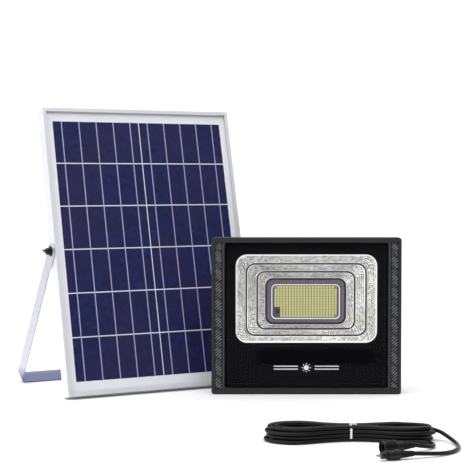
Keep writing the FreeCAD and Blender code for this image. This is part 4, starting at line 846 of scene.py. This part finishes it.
# metres
FLOOR_Y = (-9.0, 5.0)       # from behind the camera to where the paper starts to curve up
FLOOR_HALF_W = 8.0
FLOOR_DOWN = 0.0002
CURVE_R = 0.8
WALL_Z = (1.2, 4.0)
CURVE_STEPS = 10
CAMERA_AT = (-0.1184, -2.2241, 0.3602)
CAMERA_DOWN = 2.468         # degrees below level
LENS_MM = 102.66
SENSOR_MM = 36.0
# black flags in the white surround: direction, degrees from it where it ends and where full white starts
DARK_FLAGS = (((0, -1, -0.04), 22, 50), ((0.81, -0.47, 0.35), 16, 34))
# name, place, point aimed at, side in metres, watts
LAMPS = (("top_softbox", (-0.3, -0.9, 2.6), (-0.1, 0.1, 0.1), 3.2, 46.0),
         ("left_softbox", (-2.4, -1.2, 1.0), (-0.2, 0, 0.2), 1.2, 9.0),
         ("wall_wash", (0, 3.4, 3.0), (0, 5.6, 0.7), 3.0, 60.0))


def studio():
    """A white floor that curves up into a wall, lit by a white surround with two black flags and by
    softboxes above, at the left and over the wall.
    """
    level = np.linspace(*FLOOR_Y, 8)
    bend = np.linspace(0.1, 1, CURVE_STEPS) * np.pi / 2
    wall = np.linspace(*WALL_Z, 4)
    depth = np.concatenate([level, FLOOR_Y[1] + CURVE_R * np.sin(bend),
                            np.full(len(wall), FLOOR_Y[1] + CURVE_R)])
    height = np.concatenate([np.zeros(len(level)), CURVE_R - CURVE_R * np.cos(bend), wall])
    across = np.linspace(-FLOOR_HALF_W, FLOOR_HALF_W, 5)
    x, y = np.meshgrid(across, depth)
    z = np.broadcast_to(height[:, None], x.shape) - FLOOR_DOWN
    floor = surface("studio_floor", np.stack([x, y, z], axis=-1))
    made, tree, shader = material("studio_paper")
    shader.inputs["Base Color"].default_value = tint("#fdfdfd")
    shader.inputs["Roughness"].default_value = 0.9
    paint(floor, made)
    world = bpy.data.worlds.new("studio_air")
    world.use_nodes = True
    tree = world.node_tree
    where = add(tree, "ShaderNodeTexCoord")
    bright = None
    for flag, near, far in DARK_FLAGS:
        facing = add(tree, "ShaderNodeVectorMath", {0: where.outputs["Generated"]}, operation="DOT_PRODUCT")
        facing.inputs[1].default_value = Vector(flag).normalized()
        lit = add(tree, "ShaderNodeMapRange", {"Value": facing.outputs["Value"]},
                  interpolation_type="SMOOTHSTEP", From_Min=math.cos(math.radians(near)),
                  From_Max=math.cos(math.radians(far)), To_Min=0.06, To_Max=1.0)
        if bright is None:
            bright = lit.outputs["Result"]
        else:
            product = add(tree, "ShaderNodeMath", {0: bright, 1: lit.outputs["Result"]}, operation="MULTIPLY")
            bright = product.outputs["Value"]
    tree.links.new(bright, tree.nodes["Background"].inputs["Color"])
    bpy.context.scene.world = world
    for name, place, aim, size, power in LAMPS:
        data = bpy.data.lights.new(name, "AREA")
        data.size = size
        data.energy = power
        lamp = bpy.data.objects.new(name, data)
        lamp.location = place
        lamp.rotation_euler = (Vector(aim) - Vector(place)).to_track_quat("-Z", "Y").to_euler()
        bpy.context.scene.collection.objects.link(lamp)


def camera():
    data = bpy.data.cameras.new("camera")
    data.sensor_width = SENSOR_MM
    data.lens = LENS_MM
    data.clip_end = 20.0
    obj = bpy.data.objects.new("camera", data)
    obj.location = CAMERA_AT
    obj.rotation_euler = (math.radians(90 - CAMERA_DOWN), 0, 0)
    bpy.context.scene.collection.objects.link(obj)
    bpy.context.scene.camera = obj


studio()
camera()
bpy.context.scene.view_settings.view_transform = "Standard"
